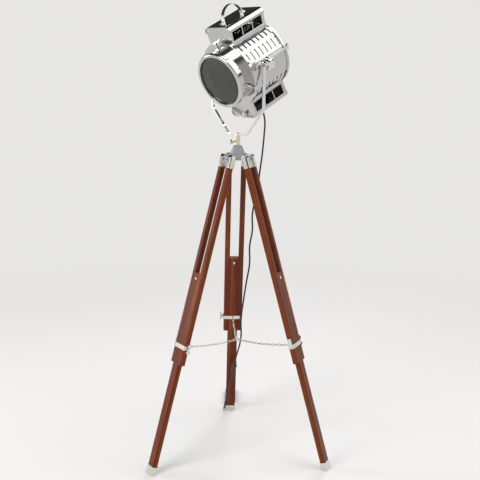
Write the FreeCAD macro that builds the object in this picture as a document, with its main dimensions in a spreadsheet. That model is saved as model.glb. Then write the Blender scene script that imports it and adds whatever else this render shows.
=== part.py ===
import FreeCAD, Part
import math
import os
import re
import Sketcher
from FreeCAD import Placement, Rotation, Vector

# A spotlight head in a yoke, on a folding wooden tripod.
# Origin: on the floor, under the upright axis that the yoke turns on. +Z up, -Y the way the lamp faces at zero pan.
# Lengths are millimetres and angles are degrees.

doc = FreeCAD.newDocument("TripodSpotlight")

# ---------------------------------------------------------------- driving sizes
SIZES = {
    # tripod
    "leg_angle": 16.3,             # spread of each leg from the upright
    "leg_length": 1166,            # hinge to floor, along the leg
    "first_leg": 90,               # azimuth of the back leg
    "hinge_radius": 40,            # hinge from the upright axis
    "hinge_bolt": 4,               # radius of the hinge bolt
    "running_gap": 0.05,           # radial gap of a turning fit
    "side_gap": 0.3,               # gap between faces that move past each other
    "rail_width": 19,
    "rail_depth": 20,
    "rail_round": 6,               # rounding of a rail's outer edges
    "rail_top": 12,                # from the hinge down to the rail's end in its ferrule
    "rail_end": 754,
    "slat_gap": 34,                # between the two rails of a leg
    "slat_top": 422,
    "foot_sole": 18,               # from the slat's end to the floor, along the leg
    "tongue_thick": 8,
    "tongue_reach": 2.6,
    "ferrule_wall": 1.2,
    "ferrule_end": 37,
    "lug_round": 9,
    "bolt_head": 7,
    "bolt_head_thick": 4,
    "clamp_station": 690,          # along the leg, to the clamp's middle
    "clamp_tall": 15,
    "clamp_thick": 2.2,
    "clamp_tab": 22,
    "clamp_boss": 4,
    "wing_screw": 3,
    "wing_span": 19,
    "wing_lobe": 7.5,
    "wing_thick": 3,
    "eye_radius": 5,
    "eye_wire": 1.5,
    "guide_drop": 20,              # from the slat's top to its guide screw
    "guide_head": 5,
    "foot_tall": 30,
    "foot_wall": 1.6,
    # hub and upright
    "hub_reach": 25.4,
    "hub_flat": 20,
    "hub_under": 10,
    "hub_shoulder": 13,
    "hub_rise": 42,
    "crown_reach": 14.6,
    "crown_flat": 7.5,
    "spigot_radius": 6,
    "spigot_depth": 20,
    "spigot_rise": 27,
    "spigot_groove": 0.8,
    "socket_radius": 9.2,
    "socket_rise": 36,
    "socket_roof": 7,
    "thumb_height": 12,
    "thumb_azimuth": 225,
    "thumb_screw": 3,
    "thumb_head": 7,
    "thumb_reach": 27,
    # yoke
    "pan_angle": -49.9,            # turned to the viewer's left
    "tilt_angle": 24.8,            # lens below the level
    "pivot_rise": 248,             # yoke base to the tilt axis
    "yoke_foot": 45,
    "yoke_half": 127,
    "yoke_bend": 90,
    "strip_thick": 3,
    "strip_wide": 12,
    "yoke_eye": 11,                # radius of the arm's round end
    "yoke_pad": 9,                 # radius of the strap where the bolt holds it
    "yoke_bolt": 4,
    "yoke_bolt_head": 7,
    "axis_drop": 20,               # lamp axis below the tilt axis
    "stud_radius": 6,
    "stud_boss": 12,
    "knob_radius": 16,             # to the middle of a lobe
    "knob_lobe": 7.5,
    "knob_thick": 34,
    "knob_collar": 13,
    # lamp head, along its own axis: front is minus, rear is plus
    "drum_radius": 116,
    "sheet": 1.5,
    "drum_front": -56,
    "drum_rear": 129,
    "lip_wide": 3.5,
    "lip_long": 11,
    "barrel_radius": 93,
    "barrel_front": -103,
    "bezel_lip": 7,                # the bezel's outside beyond the barrel
    "bezel_front": -109,
    "bezel_rear": -97,
    "glass_lip": 5,                # how far the bezel covers the lens
    "lens_curve": 600,
    "lens_thick": 10,
    "dome_rise": 9,
    "slot_wide": 6.4,
    "slot_narrow": 3.8,
    "slot_first": -38,
    "slot_last": 112,
    "vent_half": 62,               # at the top; the walls draw in towards the drum
    "vent_lean": 0.14,             # how much they draw in for each millimetre down
    "vent_top": 168,
    "vent_front": -44,
    "vent_rear": 127,
    "vent_round": 16,
    "window_low": 114,
    "window_high": 147,
    "window_front": -36,
    "window_wide": 47,
    "window_post": 4,
    "curb_low": 96,
    "curb_high": 109,
    "curb_reach": 4,
    "roof_skirt": 21,
    "roof_over": 3,
    "handle_radius": 47,
    "handle_middle": 38,
    "handle_wide": 14,
    "handle_thick": 2.5,
    "handle_foot": 11,
    "side_rail_front": -40,
    "side_rail_rear": 137,
    "side_rail_half": 4.5,
    "side_rail_flare": 11,
    "side_rail_face": 122,
    "holder_radius": 20,
    "holder_front": 74,
    "bulb_radius": 30,
    "bulb_middle": 24,
    "bulb_neck": 12,
    # chains
    "chain_wire": 1.1,
    "link_pitch": 12,
    "link_wide": 8.4,
    "ring_radius": 9,
    "ring_wire": 1.6,
    "ring_height": 438,
    "chain_sag": 7,
    "chain_gap": 0.1,              # slack of each link on the next
    # flex
    "cord_radius": 3.2,
    "gland_place": 42,
    "gland_flange": 9,
    "relief_long": 26,
    "relief_wide": 6,
    "switch_long": 56,
    "switch_wide": 26,
    "switch_thick": 15,
    "rocker_long": 16,
    "rocker_wide": 11,
    "hank_end": 18,                # radius of a loop's round ends
    "hank_run": 118,
    "hank_loops": 3,
    "hank_pitch": 7,
    "plug_long": 42,
    "plug_radius": 13,
}

sheet = doc.addObject("Spreadsheet::Sheet", "Size")
for row, (name, amount) in enumerate(SIZES.items(), start=1):
    sheet.set(f"A{row}", name)
    sheet.set(f"B{row}", str(amount))
    sheet.setAlias(f"B{row}", name)
doc.recompute()

# Sizes that follow from the driving ones.
HINGE_Z = "(leg_length * cos(leg_angle))"
HUB_TOP = f"({HINGE_Z} + hub_rise)"
YOKE_Z = f"({HUB_TOP} + side_gap + socket_rise + strip_thick / 2)"
PIVOT_Z = f"({YOKE_Z} + pivot_rise)"
SLAT_END = "(leg_length - foot_sole)"
BEZEL = "(barrel_radius + bezel_lip)"
GLASS = "(barrel_radius - glass_lip)"


def formula(text):
    """The text with every size's name written as the sheet's cell."""
    return re.sub(r"[a-z]\w*", lambda word: "Size." + word.group() if word.group() in SIZES else word.group(), str(text))


def value(text):
    """The number that an expression of sizes comes to."""
    return float(sheet.evalExpression(formula(text)))


# ---------------------------------------------------------------- helpers
AXES = {"x": "1; 0; 0", "y": "0; 1; 0", "z": "0; 0; 1"}
made = {}


def move(x=0, y=0, z=0, turn=0, about="z"):
    """A placement, as an expression."""
    return f"placement(vector({x}; {y}; {z}); rotation(vector({AXES[about]}); {turn}))"


def add(kind, name, **bound):
    thing = doc.addObject(kind, name)
    for prop, text in bound.items():
        thing.setExpression(prop, formula(text))
    return thing


def box(name, x, y, z, at=""):
    """A box from x[0] to x[1], y[0] to y[1] and z[0] to z[1]."""
    thing = add("Part::Box", name, Length=f"{x[1]} - ({x[0]})", Width=f"{y[1]} - ({y[0]})", Height=f"{z[1]} - ({z[0]})")
    thing.setExpression("Placement", formula(at + move(x[0], y[0], z[0])))
    return thing


def rod(name, radius, ends, axis="z", centre=(0, 0), kind="Part::Cylinder", far=None, at=""):
    """A cylinder, or a cone to the radius far, along an axis; centre gives its other two coordinates."""
    bound = {"Radius": radius} if far is None else {"Radius1": radius, "Radius2": far}
    thing = add(kind if far is None else "Part::Cone", name, Height=f"{ends[1]} - ({ends[0]})", **bound)
    u, v = centre
    spot = {"x": (ends[0], u, v, 90, "y"), "y": (u, ends[0], v, -90, "x"), "z": (u, v, ends[0], 0, "z")}[axis]
    thing.setExpression("Placement", formula(at + move(*spot)))
    return thing


def ball(name, radius, x=0, y=0, z=0):
    thing = add("Part::Sphere", name, Radius=radius)
    thing.setExpression("Placement", formula(move(x, y, z)))
    return thing


def fuse(name, *shapes):
    thing = doc.addObject("Part::MultiFuse", name)
    thing.Shapes = list(shapes)
    return thing


def group(name, *shapes):
    thing = doc.addObject("Part::Compound", name)
    thing.Links = list(shapes)
    return thing


def cut(name, base, *tools):
    thing = doc.addObject("Part::Cut", name)
    thing.Base = base
    thing.Tool = tools[0] if len(tools) == 1 else group(name + "_tools", *tools)
    return thing


def common(name, base, tool):
    thing = doc.addObject("Part::Common", name)
    thing.Base = base
    thing.Tool = tool
    return thing


def plane_of(body, plane):
    for feature in body.Origin.OriginFeatures:
        if feature.Role == plane.upper() + "_Plane":
            return feature
    raise ValueError(plane)


def outline(body, plane, corners, offset="0"):
    """A closed sketch through corners (u, v) or (u, v, rounding), each tied to the sheet."""
    sketch = body.newObject("Sketcher::SketchObject", body.Name + "_outline")
    sketch.AttachmentSupport = [(plane_of(body, plane), "")]
    sketch.MapMode = "FlatFace"
    sketch.setExpression("AttachmentOffset.Base.z", formula(offset))
    spots = [Vector(value(c[0]), value(c[1]), 0) for c in corners]
    rounds = [value(c[2]) if len(c) > 2 else 0 for c in corners]
    count = len(corners)
    starts, ends = [], []
    for i, spot in enumerate(spots):
        back = (spots[i - 1] - spot).normalize()
        ahead = (spots[(i + 1) % count] - spot).normalize()
        half = back.getAngle(ahead) / 2
        reach = rounds[i] / math.tan(half) if rounds[i] else 0
        ends.append(spot + back * reach)
        starts.append(spot + ahead * reach)
    lines = [sketch.addGeometry(Part.LineSegment(starts[i], ends[(i + 1) % count]), False) for i in range(count)]

    def bind(kind, *refs, text):
        index = sketch.addConstraint(Sketcher.Constraint(kind, *refs, value(text)))
        sketch.setExpression(f"Constraints[{index}]", formula(text))

    for i, corner in enumerate(corners):
        before, after = lines[i - 1], lines[i]
        if rounds[i]:
            spot = spots[i]
            bisector = ((ends[i] - spot) + (starts[i] - spot)).normalize()
            half = (ends[i] - spot).getAngle(starts[i] - spot) / 2
            middle = spot + bisector * (rounds[i] / math.sin(half))
            inside = middle - bisector * rounds[i]
            arc = sketch.addGeometry(Part.Arc(ends[i], inside, starts[i]), False)
            turns_left = (ends[i] - middle).cross(starts[i] - middle).z > 0
            first, last = (1, 2) if turns_left else (2, 1)
            mark = sketch.addGeometry(Part.Point(spot), True)
            bind("DistanceX", -1, 1, mark, 1, text=corner[0])
            bind("DistanceY", -1, 1, mark, 1, text=corner[1])
            sketch.addConstraint(Sketcher.Constraint("PointOnObject", mark, 1, before))
            sketch.addConstraint(Sketcher.Constraint("PointOnObject", mark, 1, after))
            sketch.addConstraint(Sketcher.Constraint("Tangent", before, 2, arc, first))
            sketch.addConstraint(Sketcher.Constraint("Tangent", after, 1, arc, last))
            bind("Radius", arc, text=corner[2])
        else:
            sketch.addConstraint(Sketcher.Constraint("Coincident", before, 2, after, 1))
            bind("DistanceX", -1, 1, after, 1, text=corner[0])
            bind("DistanceY", -1, 1, after, 1, text=corner[1])
    return sketch


def prism(name, plane, corners, span):
    """A plate or bar: an outline padded from span[0] to span[1] along the plane's own axis."""
    body = doc.addObject("PartDesign::Body", name)
    flip = plane == "xz"
    offset = f"-({span[1]})" if flip else span[0]
    sketch = outline(body, plane, corners, offset)
    pad = body.newObject("PartDesign::Pad", name + "_pad")
    pad.Profile = sketch
    pad.setExpression("Length", formula(f"{span[1]} - ({span[0]})"))
    return body


def turned(name, axis, corners):
    """A turned piece: corners (radius, place along the axis) spun about the z or the y axis."""
    body = doc.addObject("PartDesign::Body", name)
    sketch = outline(body, "xz" if axis == "z" else "xy", corners)
    spin = body.newObject("PartDesign::Revolution", name + "_spin")
    spin.Profile = sketch
    spin.ReferenceAxis = (sketch, ["V_Axis"])
    spin.Angle = 360
    return body


def eight_sided(radius, wire):
    """Corners of a ring's wire section: an octagon about as thick as the round wire."""
    return [(f"{radius} + {wire} * {math.cos(math.pi * (i + 0.5) / 4):.4f}",
             f"{wire} * {math.sin(math.pi * (i + 0.5) / 4):.4f}") for i in range(8)]


def fixed(name, shape):
    thing = doc.addObject("Part::Feature", name)
    thing.Shape = shape
    return thing


def node(name, thing, frame=""):
    """Names a finished piece and puts it in its place on the lamp."""
    thing.Label = name
    if frame:
        thing.setExpression("Placement", formula(frame))
    made[name] = thing
    return thing


# ---------------------------------------------------------------- where each group of pieces stands
YOKE = move(turn="pan_angle")
LAMP = f"{move(z=PIVOT_Z, turn='pan_angle')} * {move(turn='tilt_angle', about='x')} * {move(z='-axis_drop')}"
LEGS = {"back": 0, "left": 1, "right": 2}


def leg_frame(number):
    """A leg's own frame: the hinge is its origin, x outward, y along the hinge, z up the leg."""
    return (f"{move(turn=f'first_leg + 120 * {number}')} * "
            f"{move('hinge_radius', 0, HINGE_Z, '-leg_angle', 'y')}")


# ---------------------------------------------------------------- hub
def make_hub():
    """A cast spider: three hinge lugs round a six-sided core that tapers to the spigot's seat."""
    def six_sided(name, height, reach, flat):
        sketch = doc.addObject("Sketcher::SketchObject", name)
        corners = []
        for number in range(3):
            for side in (-1, 1):
                angle = f"(first_leg + 120 * {number})"
                half = f"({side} * {flat} / 2)"
                corners.append((f"{reach} * cos({angle}) - {half} * sin({angle})",
                                f"{reach} * sin({angle}) + {half} * cos({angle})"))
        spots = [Vector(value(u), value(v), 0) for u, v in corners]
        for i in range(6):
            sketch.addGeometry(Part.LineSegment(spots[i], spots[(i + 1) % 6]), False)
        for i, (u, v) in enumerate(corners):
            sketch.addConstraint(Sketcher.Constraint("Coincident", (i - 1) % 6, 2, i, 1))
            for kind, text in (("DistanceX", u), ("DistanceY", v)):
                index = sketch.addConstraint(Sketcher.Constraint(kind, -1, 1, i, 1, value(text)))
                sketch.setExpression(f"Constraints[{index}]", formula(text))
        sketch.setExpression("Placement", formula(move(z=height)))
        return sketch

    def between(name, low, high):
        loft = doc.addObject("Part::Loft", name)
        loft.Sections = [low, high]
        loft.Solid = True
        loft.Ruled = True
        return loft

    under = six_sided("hub_foot", f"{HINGE_Z} - hub_under", "hub_reach", "hub_flat")
    shoulder = six_sided("hub_waist", f"{HINGE_Z} + hub_shoulder", "hub_reach", "hub_flat")
    crown = six_sided("hub_crown", HUB_TOP, "crown_reach", "crown_flat")
    parts = [between("hub_core", under, shoulder), between("hub_taper", shoulder, crown)]
    bores = [rod("hub_spigot_bore", "spigot_radius", (f"{HUB_TOP} - spigot_depth", f"{HUB_TOP} + 1"))]
    half = "(slat_gap / 2 - ferrule_wall - side_gap)"
    for word, number in LEGS.items():
        turn = move(turn=f"first_leg + 120 * {number}") + " * "
        parts.append(box(f"lug_web_{word}", ("crown_flat", "hinge_radius"), (f"-{half}", half),
                         (f"{HINGE_Z} - lug_round", f"{HINGE_Z} + lug_round"), turn))
        parts.append(rod(f"lug_eye_{word}", "lug_round", (f"-{half}", half), "y", ("hinge_radius", HINGE_Z), at=turn))
        bores.append(rod(f"lug_bore_{word}", "hinge_bolt + running_gap", (f"-{half} - 1", f"{half} + 1"), "y",
                         ("hinge_radius", HINGE_Z), at=turn))
    node("hub", cut("hub_cast", fuse("hub_blank", *parts), *bores))


def make_spigot():
    """A steel stud pressed into the hub, grooved where the thumb screw bears."""
    seat = f"({HUB_TOP} - spigot_depth)"
    neck = f"({HUB_TOP} + thumb_height)"
    top = f"({HUB_TOP} + spigot_rise)"
    band = "(thumb_screw + side_gap)"
    waist = "(spigot_radius - spigot_groove)"
    node("spigot", turned("spigot_stud", "z", [
        (0, seat), ("spigot_radius", seat), ("spigot_radius", f"{neck} - {band}"), (waist, f"{neck} - {band}"),
        (waist, f"{neck} + {band}"), ("spigot_radius", f"{neck} + {band}"), ("spigot_radius", top, 1), (0, top)]))


# ---------------------------------------------------------------- legs
def make_leg(word, number):
    frame = leg_frame(number)
    depth = "(rail_depth / 2)"
    inner = "(slat_gap / 2)"
    outer = "(slat_gap / 2 + rail_width)"
    groove = "(tongue_thick / 2 + side_gap)"

    # two rails, rounded on their outer edges and grooved for the sliding slat
    rails = []
    for side in (-1, 1):
        corners = [(f"-{depth}", f"{side} * {inner}"), (f"-{depth}", f"{side} * {outer}", "rail_round"),
                   (depth, f"{side} * {outer}", "rail_round"), (depth, f"{side} * {inner}"),
                   (groove, f"{side} * {inner}"), (groove, f"{side} * ({inner} + tongue_reach + side_gap)"),
                   (f"-{groove}", f"{side} * ({inner} + tongue_reach + side_gap)"), (f"-{groove}", f"{side} * {inner}")]
        rails.append(prism(f"rail_{word}_{side + 1}", "xy", corners, ("-rail_end", "-rail_top")))
    node(f"rails_{word}", group(f"rail_pair_{word}", *rails), frame)

    # a metal ferrule on each rail, with the hinge eye at its top
    skin = "(rail_depth / 2 + ferrule_wall)"
    near = "(slat_gap / 2 - ferrule_wall)"
    far = "(slat_gap / 2 + rail_width + ferrule_wall)"
    ferrules = []
    for side in (-1, 1):
        tag = f"{word}_{side + 1}"
        span = (near, far) if side > 0 else (f"-{far}", f"-{near}")
        corners = [(f"-{skin}", f"{side} * {near}"), (f"-{skin}", f"{side} * {far}", "rail_round + ferrule_wall"),
                   (skin, f"{side} * {far}", "rail_round + ferrule_wall"), (skin, f"{side} * {near}")]
        blank = prism(f"ferrule_blank_{tag}", "xy", corners, ("-ferrule_end", skin))
        round_top = fuse(f"ferrule_form_{tag}", rod(f"ferrule_eye_{tag}", skin, span, "y"),
                         box(f"ferrule_cup_{tag}", (f"-{skin}", skin), span, ("-ferrule_end", 0)))
        socket = prism(f"ferrule_bore_{tag}", "xy", [
            (f"-{depth}", f"{side} * {inner}"), (f"-{depth}", f"{side} * {outer}", "rail_round"),
            (depth, f"{side} * {outer}", "rail_round"), (depth, f"{side} * {inner}")], ("-ferrule_end - 1", "-rail_top"))
        eye = rod(f"ferrule_pin_hole_{tag}", "hinge_bolt", (f"{span[0]} - 1", f"{span[1]} + 1"), "y")
        ferrules.append(cut(f"ferrule_{tag}", common(f"ferrule_solid_{tag}", blank, round_top), socket, eye))
    node(f"ferrules_{word}", group(f"ferrule_pair_{word}", *ferrules), frame)

    # the hinge bolt through both ferrules and the hub's lug
    node(f"hinge_bolt_{word}", turned(f"bolt_{word}", "y", [
        (0, f"-{far} - bolt_head_thick"), ("bolt_head", f"-{far} - bolt_head_thick", 1), ("bolt_head", f"-{far}"),
        ("hinge_bolt", f"-{far}"), ("hinge_bolt", far), ("bolt_head", far),
        ("bolt_head", f"{far} + bolt_head_thick", 2.5), (0, f"{far} + bolt_head_thick")]), frame)

    # the clamp: a band round both rails, a boss for the wing screw, a tab and the chain's eye
    low = "(-clamp_station - clamp_tall / 2)"
    high = "(-clamp_station + clamp_tall / 2)"
    wrap_x = "(rail_depth / 2 + clamp_thick)"
    wrap_y = "(slat_gap / 2 + rail_width + clamp_thick)"

    def around(name, x, y, rounding, span):
        return prism(name, "xy", [(f"-{x}", f"-{y}", rounding), (x, f"-{y}", rounding), (x, y, rounding),
                                  (f"-{x}", y, rounding)], span)

    shank = "(wing_screw + running_gap)"
    stem = f"({wrap_x} + eye_radius)"
    band = fuse(f"clamp_body_{word}",
                around(f"clamp_outside_{word}", wrap_x, wrap_y, "rail_round + clamp_thick", (low, high)),
                rod(f"clamp_boss_{word}", "wing_screw + clamp_boss", ("0", f"{wrap_y} + clamp_boss"), "y",
                    (0, "-clamp_station")),
                box(f"clamp_tab_{word}", ("-clamp_tall / 2", "clamp_tall / 2"),
                    (f"-{wrap_y}", f"-{wrap_y} + clamp_thick"), ("-clamp_station", f"{high} + clamp_tab")))
    eye_ring = turned(f"clamp_eye_{word}", "z", eight_sided("eye_radius", "eye_wire"))
    eye_ring.setExpression("Placement", formula(move(f"-{stem} - eye_wire / 2", 0, "-clamp_station", 90, "x")))
    holes = [around(f"clamp_inside_{word}", depth, outer, "rail_round", (f"{low} - 1", f"{high} + 1")),
             rod(f"clamp_screw_hole_{word}", shank, ("0", f"{wrap_y} + clamp_boss + 1"), "y", (0, "-clamp_station"))]
    strap = cut(f"clamp_strap_{word}", band, *holes)
    node(f"clamp_{word}", fuse(f"clamp_whole_{word}", strap, eye_ring), frame)

    # the wing screw, its tip against the rail
    tip = f"({outer} + side_gap)"
    start = f"({wrap_y} + clamp_boss + side_gap)"
    wing = f"({start} + 4)"
    screw = [rod(f"wing_shank_{word}", "wing_screw", (tip, wing), "y"),
             rod(f"wing_collar_{word}", "wing_screw + 3", (start, f"{wing} + wing_thick"), "y", far="wing_screw + 1.5")]
    for side in (-1, 1):
        far_edge = f"{side} * (wing_span - wing_lobe)"
        screw.append(rod(f"wing_lobe_{word}_{side + 1}", "wing_lobe", (wing, f"{wing} + wing_thick"), "y",
                         (0, far_edge)))
    screw.append(box(f"wing_bridge_{word}", ("-wing_screw", "wing_screw"), (wing, f"{wing} + wing_thick"),
                     ("-wing_span + wing_lobe", "wing_span - wing_lobe")))
    node(f"wing_screw_{word}", fuse(f"wing_{word}", *screw), f"{frame} * {move(z='-clamp_station')}")

    # the sliding slat, with a tongue on each edge
    face = "(rail_depth / 2 - side_gap)"
    edge = "(slat_gap / 2 - side_gap)"
    tongue = "(tongue_thick / 2)"
    reach = "(slat_gap / 2 - side_gap + tongue_reach)"
    corners = [(f"-{face}", f"-{edge}", 1), (face, f"-{edge}", 1), (face, edge, 1), (f"-{face}", edge, 1)]
    plank = prism(f"slat_plank_{word}", "xy", corners, (f"-{SLAT_END}", "-slat_top"))
    slat = fuse(f"slat_{word}", plank, box(f"slat_tongue_{word}", (f"-{tongue}", tongue), (f"-{reach}", reach),
                                           (f"-{SLAT_END}", "-slat_top")))
    guide = "(-slat_top - guide_drop)"
    shaft = rod(f"slat_hole_{word}", "guide_head / 2", (f"-{face} - 1", f"{face} + 1"), "x", (0, guide))
    node(f"lower_leg_{word}", cut(f"slat_drilled_{word}", slat, shaft), frame)
    node(f"guide_screw_{word}", fuse(
        f"guide_{word}", rod(f"guide_shank_{word}", "guide_head / 2", (f"-{face}", face), "x", (0, guide)),
        rod(f"guide_head_{word}", "guide_head", (face, f"{face} + 2.5"), "x", (0, guide), far="guide_head - 1.5"),
        rod(f"guide_nut_{word}", "guide_head - 1.5", (f"-{face} - 2.5", f"-{face}"), "x", (0, guide),
            far="guide_head")), frame)

    # the foot: a metal shoe over the slat's end, ground off level with the floor
    shoe_x = f"({face} + foot_wall)"
    shoe_y = f"({reach} + foot_wall)"
    top = "(-leg_length + foot_tall)"
    bottom = "(-leg_length - foot_wall * 4)"
    shoe = around(f"shoe_outside_{word}", shoe_x, shoe_y, 4, (bottom, top))
    inside = around(f"shoe_inside_{word}", face, reach, 1, (f"-{SLAT_END}", f"{top} + 1"))
    below = box(f"floor_{word}", ("-leg_length", "leg_length"), ("-leg_length", "leg_length"), ("-leg_length", 0),
                move(0, 0, "-leg_length", "leg_angle", "y") + " * ")
    node(f"foot_{word}", cut(f"shoe_{word}", shoe, inside, below), frame)


# ---------------------------------------------------------------- yoke
def make_yoke():
    slope = "atan(yoke_bend / (yoke_half - yoke_foot))"
    low_shift = f"(strip_thick / 2 * tan({slope} / 2))"
    high_shift = f"(strip_thick / 2 * tan((90 deg - {slope}) / 2))"
    half = "(strip_thick / 2)"
    crest = f"({PIVOT_Z} + yoke_eye)"
    bend_z = f"({YOKE_Z} + yoke_bend)"

    def path(side, grow):
        """One face of the strip, from its base to the top of an arm: grow is 1 outside and -1 inside."""
        rounding = "strip_thick * 3" if grow > 0 else "strip_thick * 2"
        return [(f"{side} * (yoke_foot + {grow} * {low_shift})", f"{YOKE_Z} - {grow} * {half}", rounding),
                (f"{side} * (yoke_half + {grow} * {half})", f"{bend_z} - {grow} * {high_shift}", rounding),
                (f"{side} * (yoke_half + {grow} * {half})", crest)]

    corners = path(1, 1) + path(1, -1)[::-1] + path(-1, -1) + path(-1, 1)[::-1]
    strip = prism("yoke_strip", "xz", corners, ("-yoke_eye", "yoke_eye"))
    wide = "(yoke_half + strip_thick)"
    form = fuse("yoke_form", box("yoke_below", (f"-{wide}", wide), ("-strip_wide / 2", "strip_wide / 2"),
                                 (f"{YOKE_Z} - strip_thick", PIVOT_Z)),
                rod("yoke_eyes", "yoke_eye", (f"-{wide}", wide), "x", (0, PIVOT_Z)),
                rod("yoke_middle", "yoke_pad", (f"{YOKE_Z} - strip_thick", f"{YOKE_Z} + strip_thick")))
    bores = [rod("yoke_pivot_bore", "stud_radius + running_gap", (f"-{wide}", wide), "x", (0, PIVOT_Z)),
             rod("yoke_bolt_hole", "yoke_bolt", (f"{YOKE_Z} - strip_thick", f"{YOKE_Z} + strip_thick"))]
    node("yoke", cut("yoke_drilled", common("yoke_bent", strip, form), *bores), YOKE)

    # the socket that turns on the spigot, open below, tapped for the thumb screw and for the bolt above
    foot = f"({HUB_TOP} + side_gap)"
    roof = f"({foot} + socket_rise)"
    bore = "(spigot_radius + running_gap)"
    ceiling = f"({roof} - socket_roof)"
    neck = f"({HUB_TOP} + thumb_height)"
    blank = turned("socket_blank", "z", [
        (bore, foot), ("socket_radius", foot, 1), ("socket_radius", roof), ("yoke_bolt", roof),
        ("yoke_bolt", ceiling), (bore, ceiling)])
    aim = move(turn="thumb_azimuth") + " * "
    hole = rod("socket_thumb_hole", "thumb_screw + running_gap", ("0", "socket_radius + 1"), "x",
               (0, neck), at=aim)
    node("socket", cut("socket_drilled", blank, hole), YOKE)
    node("thumb_screw", fuse(
        "thumb", rod("thumb_shank", "thumb_screw", ("spigot_radius - spigot_groove + side_gap", "thumb_reach - 8"), "x"),
        rod("thumb_collar", "thumb_head / 2 + 1", ("thumb_reach - 12", "thumb_reach - 8"), "x", far="thumb_head"),
        rod("thumb_rim", "thumb_head", ("thumb_reach - 8", "thumb_reach - 1"), "x"),
        rod("thumb_face", "thumb_head", ("thumb_reach - 1", "thumb_reach"), "x", far="thumb_head - 1")),
        f"{YOKE} * {move(z=neck, turn='thumb_azimuth')}")
    seat = f"({YOKE_Z} + strip_thick / 2)"
    node("yoke_bolt", turned("bolt_yoke", "z", [
        (0, f"{ceiling} + 1"), ("yoke_bolt", f"{ceiling} + 1"), ("yoke_bolt", seat), ("yoke_bolt_head", seat),
        ("yoke_bolt_head", f"{seat} + 7", 3), (0, f"{seat} + 7")]), YOKE)


def make_pivots():
    """A boss and stud on each side of the head, and the lobed knob that clamps the yoke's arm."""
    inner = "(yoke_half - strip_thick / 2 - side_gap)"
    outer = "(yoke_half + strip_thick / 2 + side_gap)"
    crown = f"({outer} + knob_thick)"
    rim = f"({outer} + knob_collar)"
    end = f"({crown} - 8)"
    studs = []
    for side, word in ((-1, "left"), (1, "right")):
        def along(a, b):
            return (a, b) if side > 0 else (f"-{b}", f"-{a}")

        def step(tag, radius, a, b, far=None, centre=(0, 0), at=""):
            ends = (radius, far) if side > 0 or far is None else (far, radius)
            return rod(f"knob_{tag}_{word}", ends[0], along(a, b), "x", centre, far=ends[1], at=at)

        middle = (0, "axis_drop")
        studs.append(fuse(f"stud_{word}", rod(f"boss_{word}", "stud_boss", along("side_rail_face", inner), "x", middle),
                          rod(f"pin_{word}", "stud_radius", along("side_rail_face", end), "x", middle)))
        knob = [step("collar", "stud_boss - 1", outer, f"({outer} + 4)"),
                step("neck", "stud_boss - 3", outer, rim),
                step("core", "knob_radius", rim, f"({crown} - 3)"),
                step("crown", "knob_radius", f"({crown} - 3)", crown, "knob_radius - 5")]
        for lobe in range(5):
            spin = move(turn=f"{72 * lobe}", about="x") + " * "
            spot = (0, "knob_radius")
            knob += [step(f"lobe_{lobe}", "knob_lobe", f"({rim} + 3)", f"({crown} - 7)", None, spot, spin),
                     step(f"lobe_in_{lobe}", "knob_lobe - 3", rim, f"({rim} + 3)", "knob_lobe", spot, spin),
                     step(f"lobe_out_{lobe}", "knob_lobe", f"({crown} - 7)", f"({crown} - 3)", "knob_lobe - 4", spot, spin)]
        bore = rod(f"knob_bore_{word}", "stud_radius + running_gap", along(f"({outer} - 1)", f"({end} + 1)"), "x")
        node(f"tilt_knob_{word}", cut(f"knob_{word}", fuse(f"knob_form_{word}", *knob), bore),
             f"{LAMP} * {move(z='axis_drop')}")
    node("pivot_studs", group("stud_pair", *studs), LAMP)


# ---------------------------------------------------------------- lamp head
def make_slots(side):
    """Three rows of cooling slots in one side of the drum: angles are measured from its top."""
    tools = []

    def slot(tag, angle, arc, y, keyhole=False):
        spin = move(turn=f"{side} * {angle}", about="y") + " * "
        half = f"(3.14159 / 360 * {arc} * drum_radius)"
        wide = "(slot_narrow / 2)" if keyhole else "(slot_wide / 2)"
        tools.append(box(f"slot_{tag}", (f"-{half}", half), (f"{y} - {wide}", f"{y} + {wide}"),
                         ("drum_radius - sheet * 4", "drum_radius + sheet * 4"), spin))
        if keyhole:
            tools.append(rod(f"slot_eye_{tag}", "slot_narrow * 0.85", ("drum_radius - sheet * 4", "drum_radius + sheet * 4"),
                             "z", (f"-{side} * {half}", y), at=spin))

    for row, (angle, arc, count, keyhole) in enumerate(((41, 11, 8, False), (63, 15, 8, True), (132, 20, 8, False))):
        for i in range(count):
            place = f"(slot_first + (slot_last - slot_first) * {i} / {count - 1})"
            slot(f"{side + 1}_{row}_{i}", angle, arc, place, keyhole)
    return tools


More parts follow.
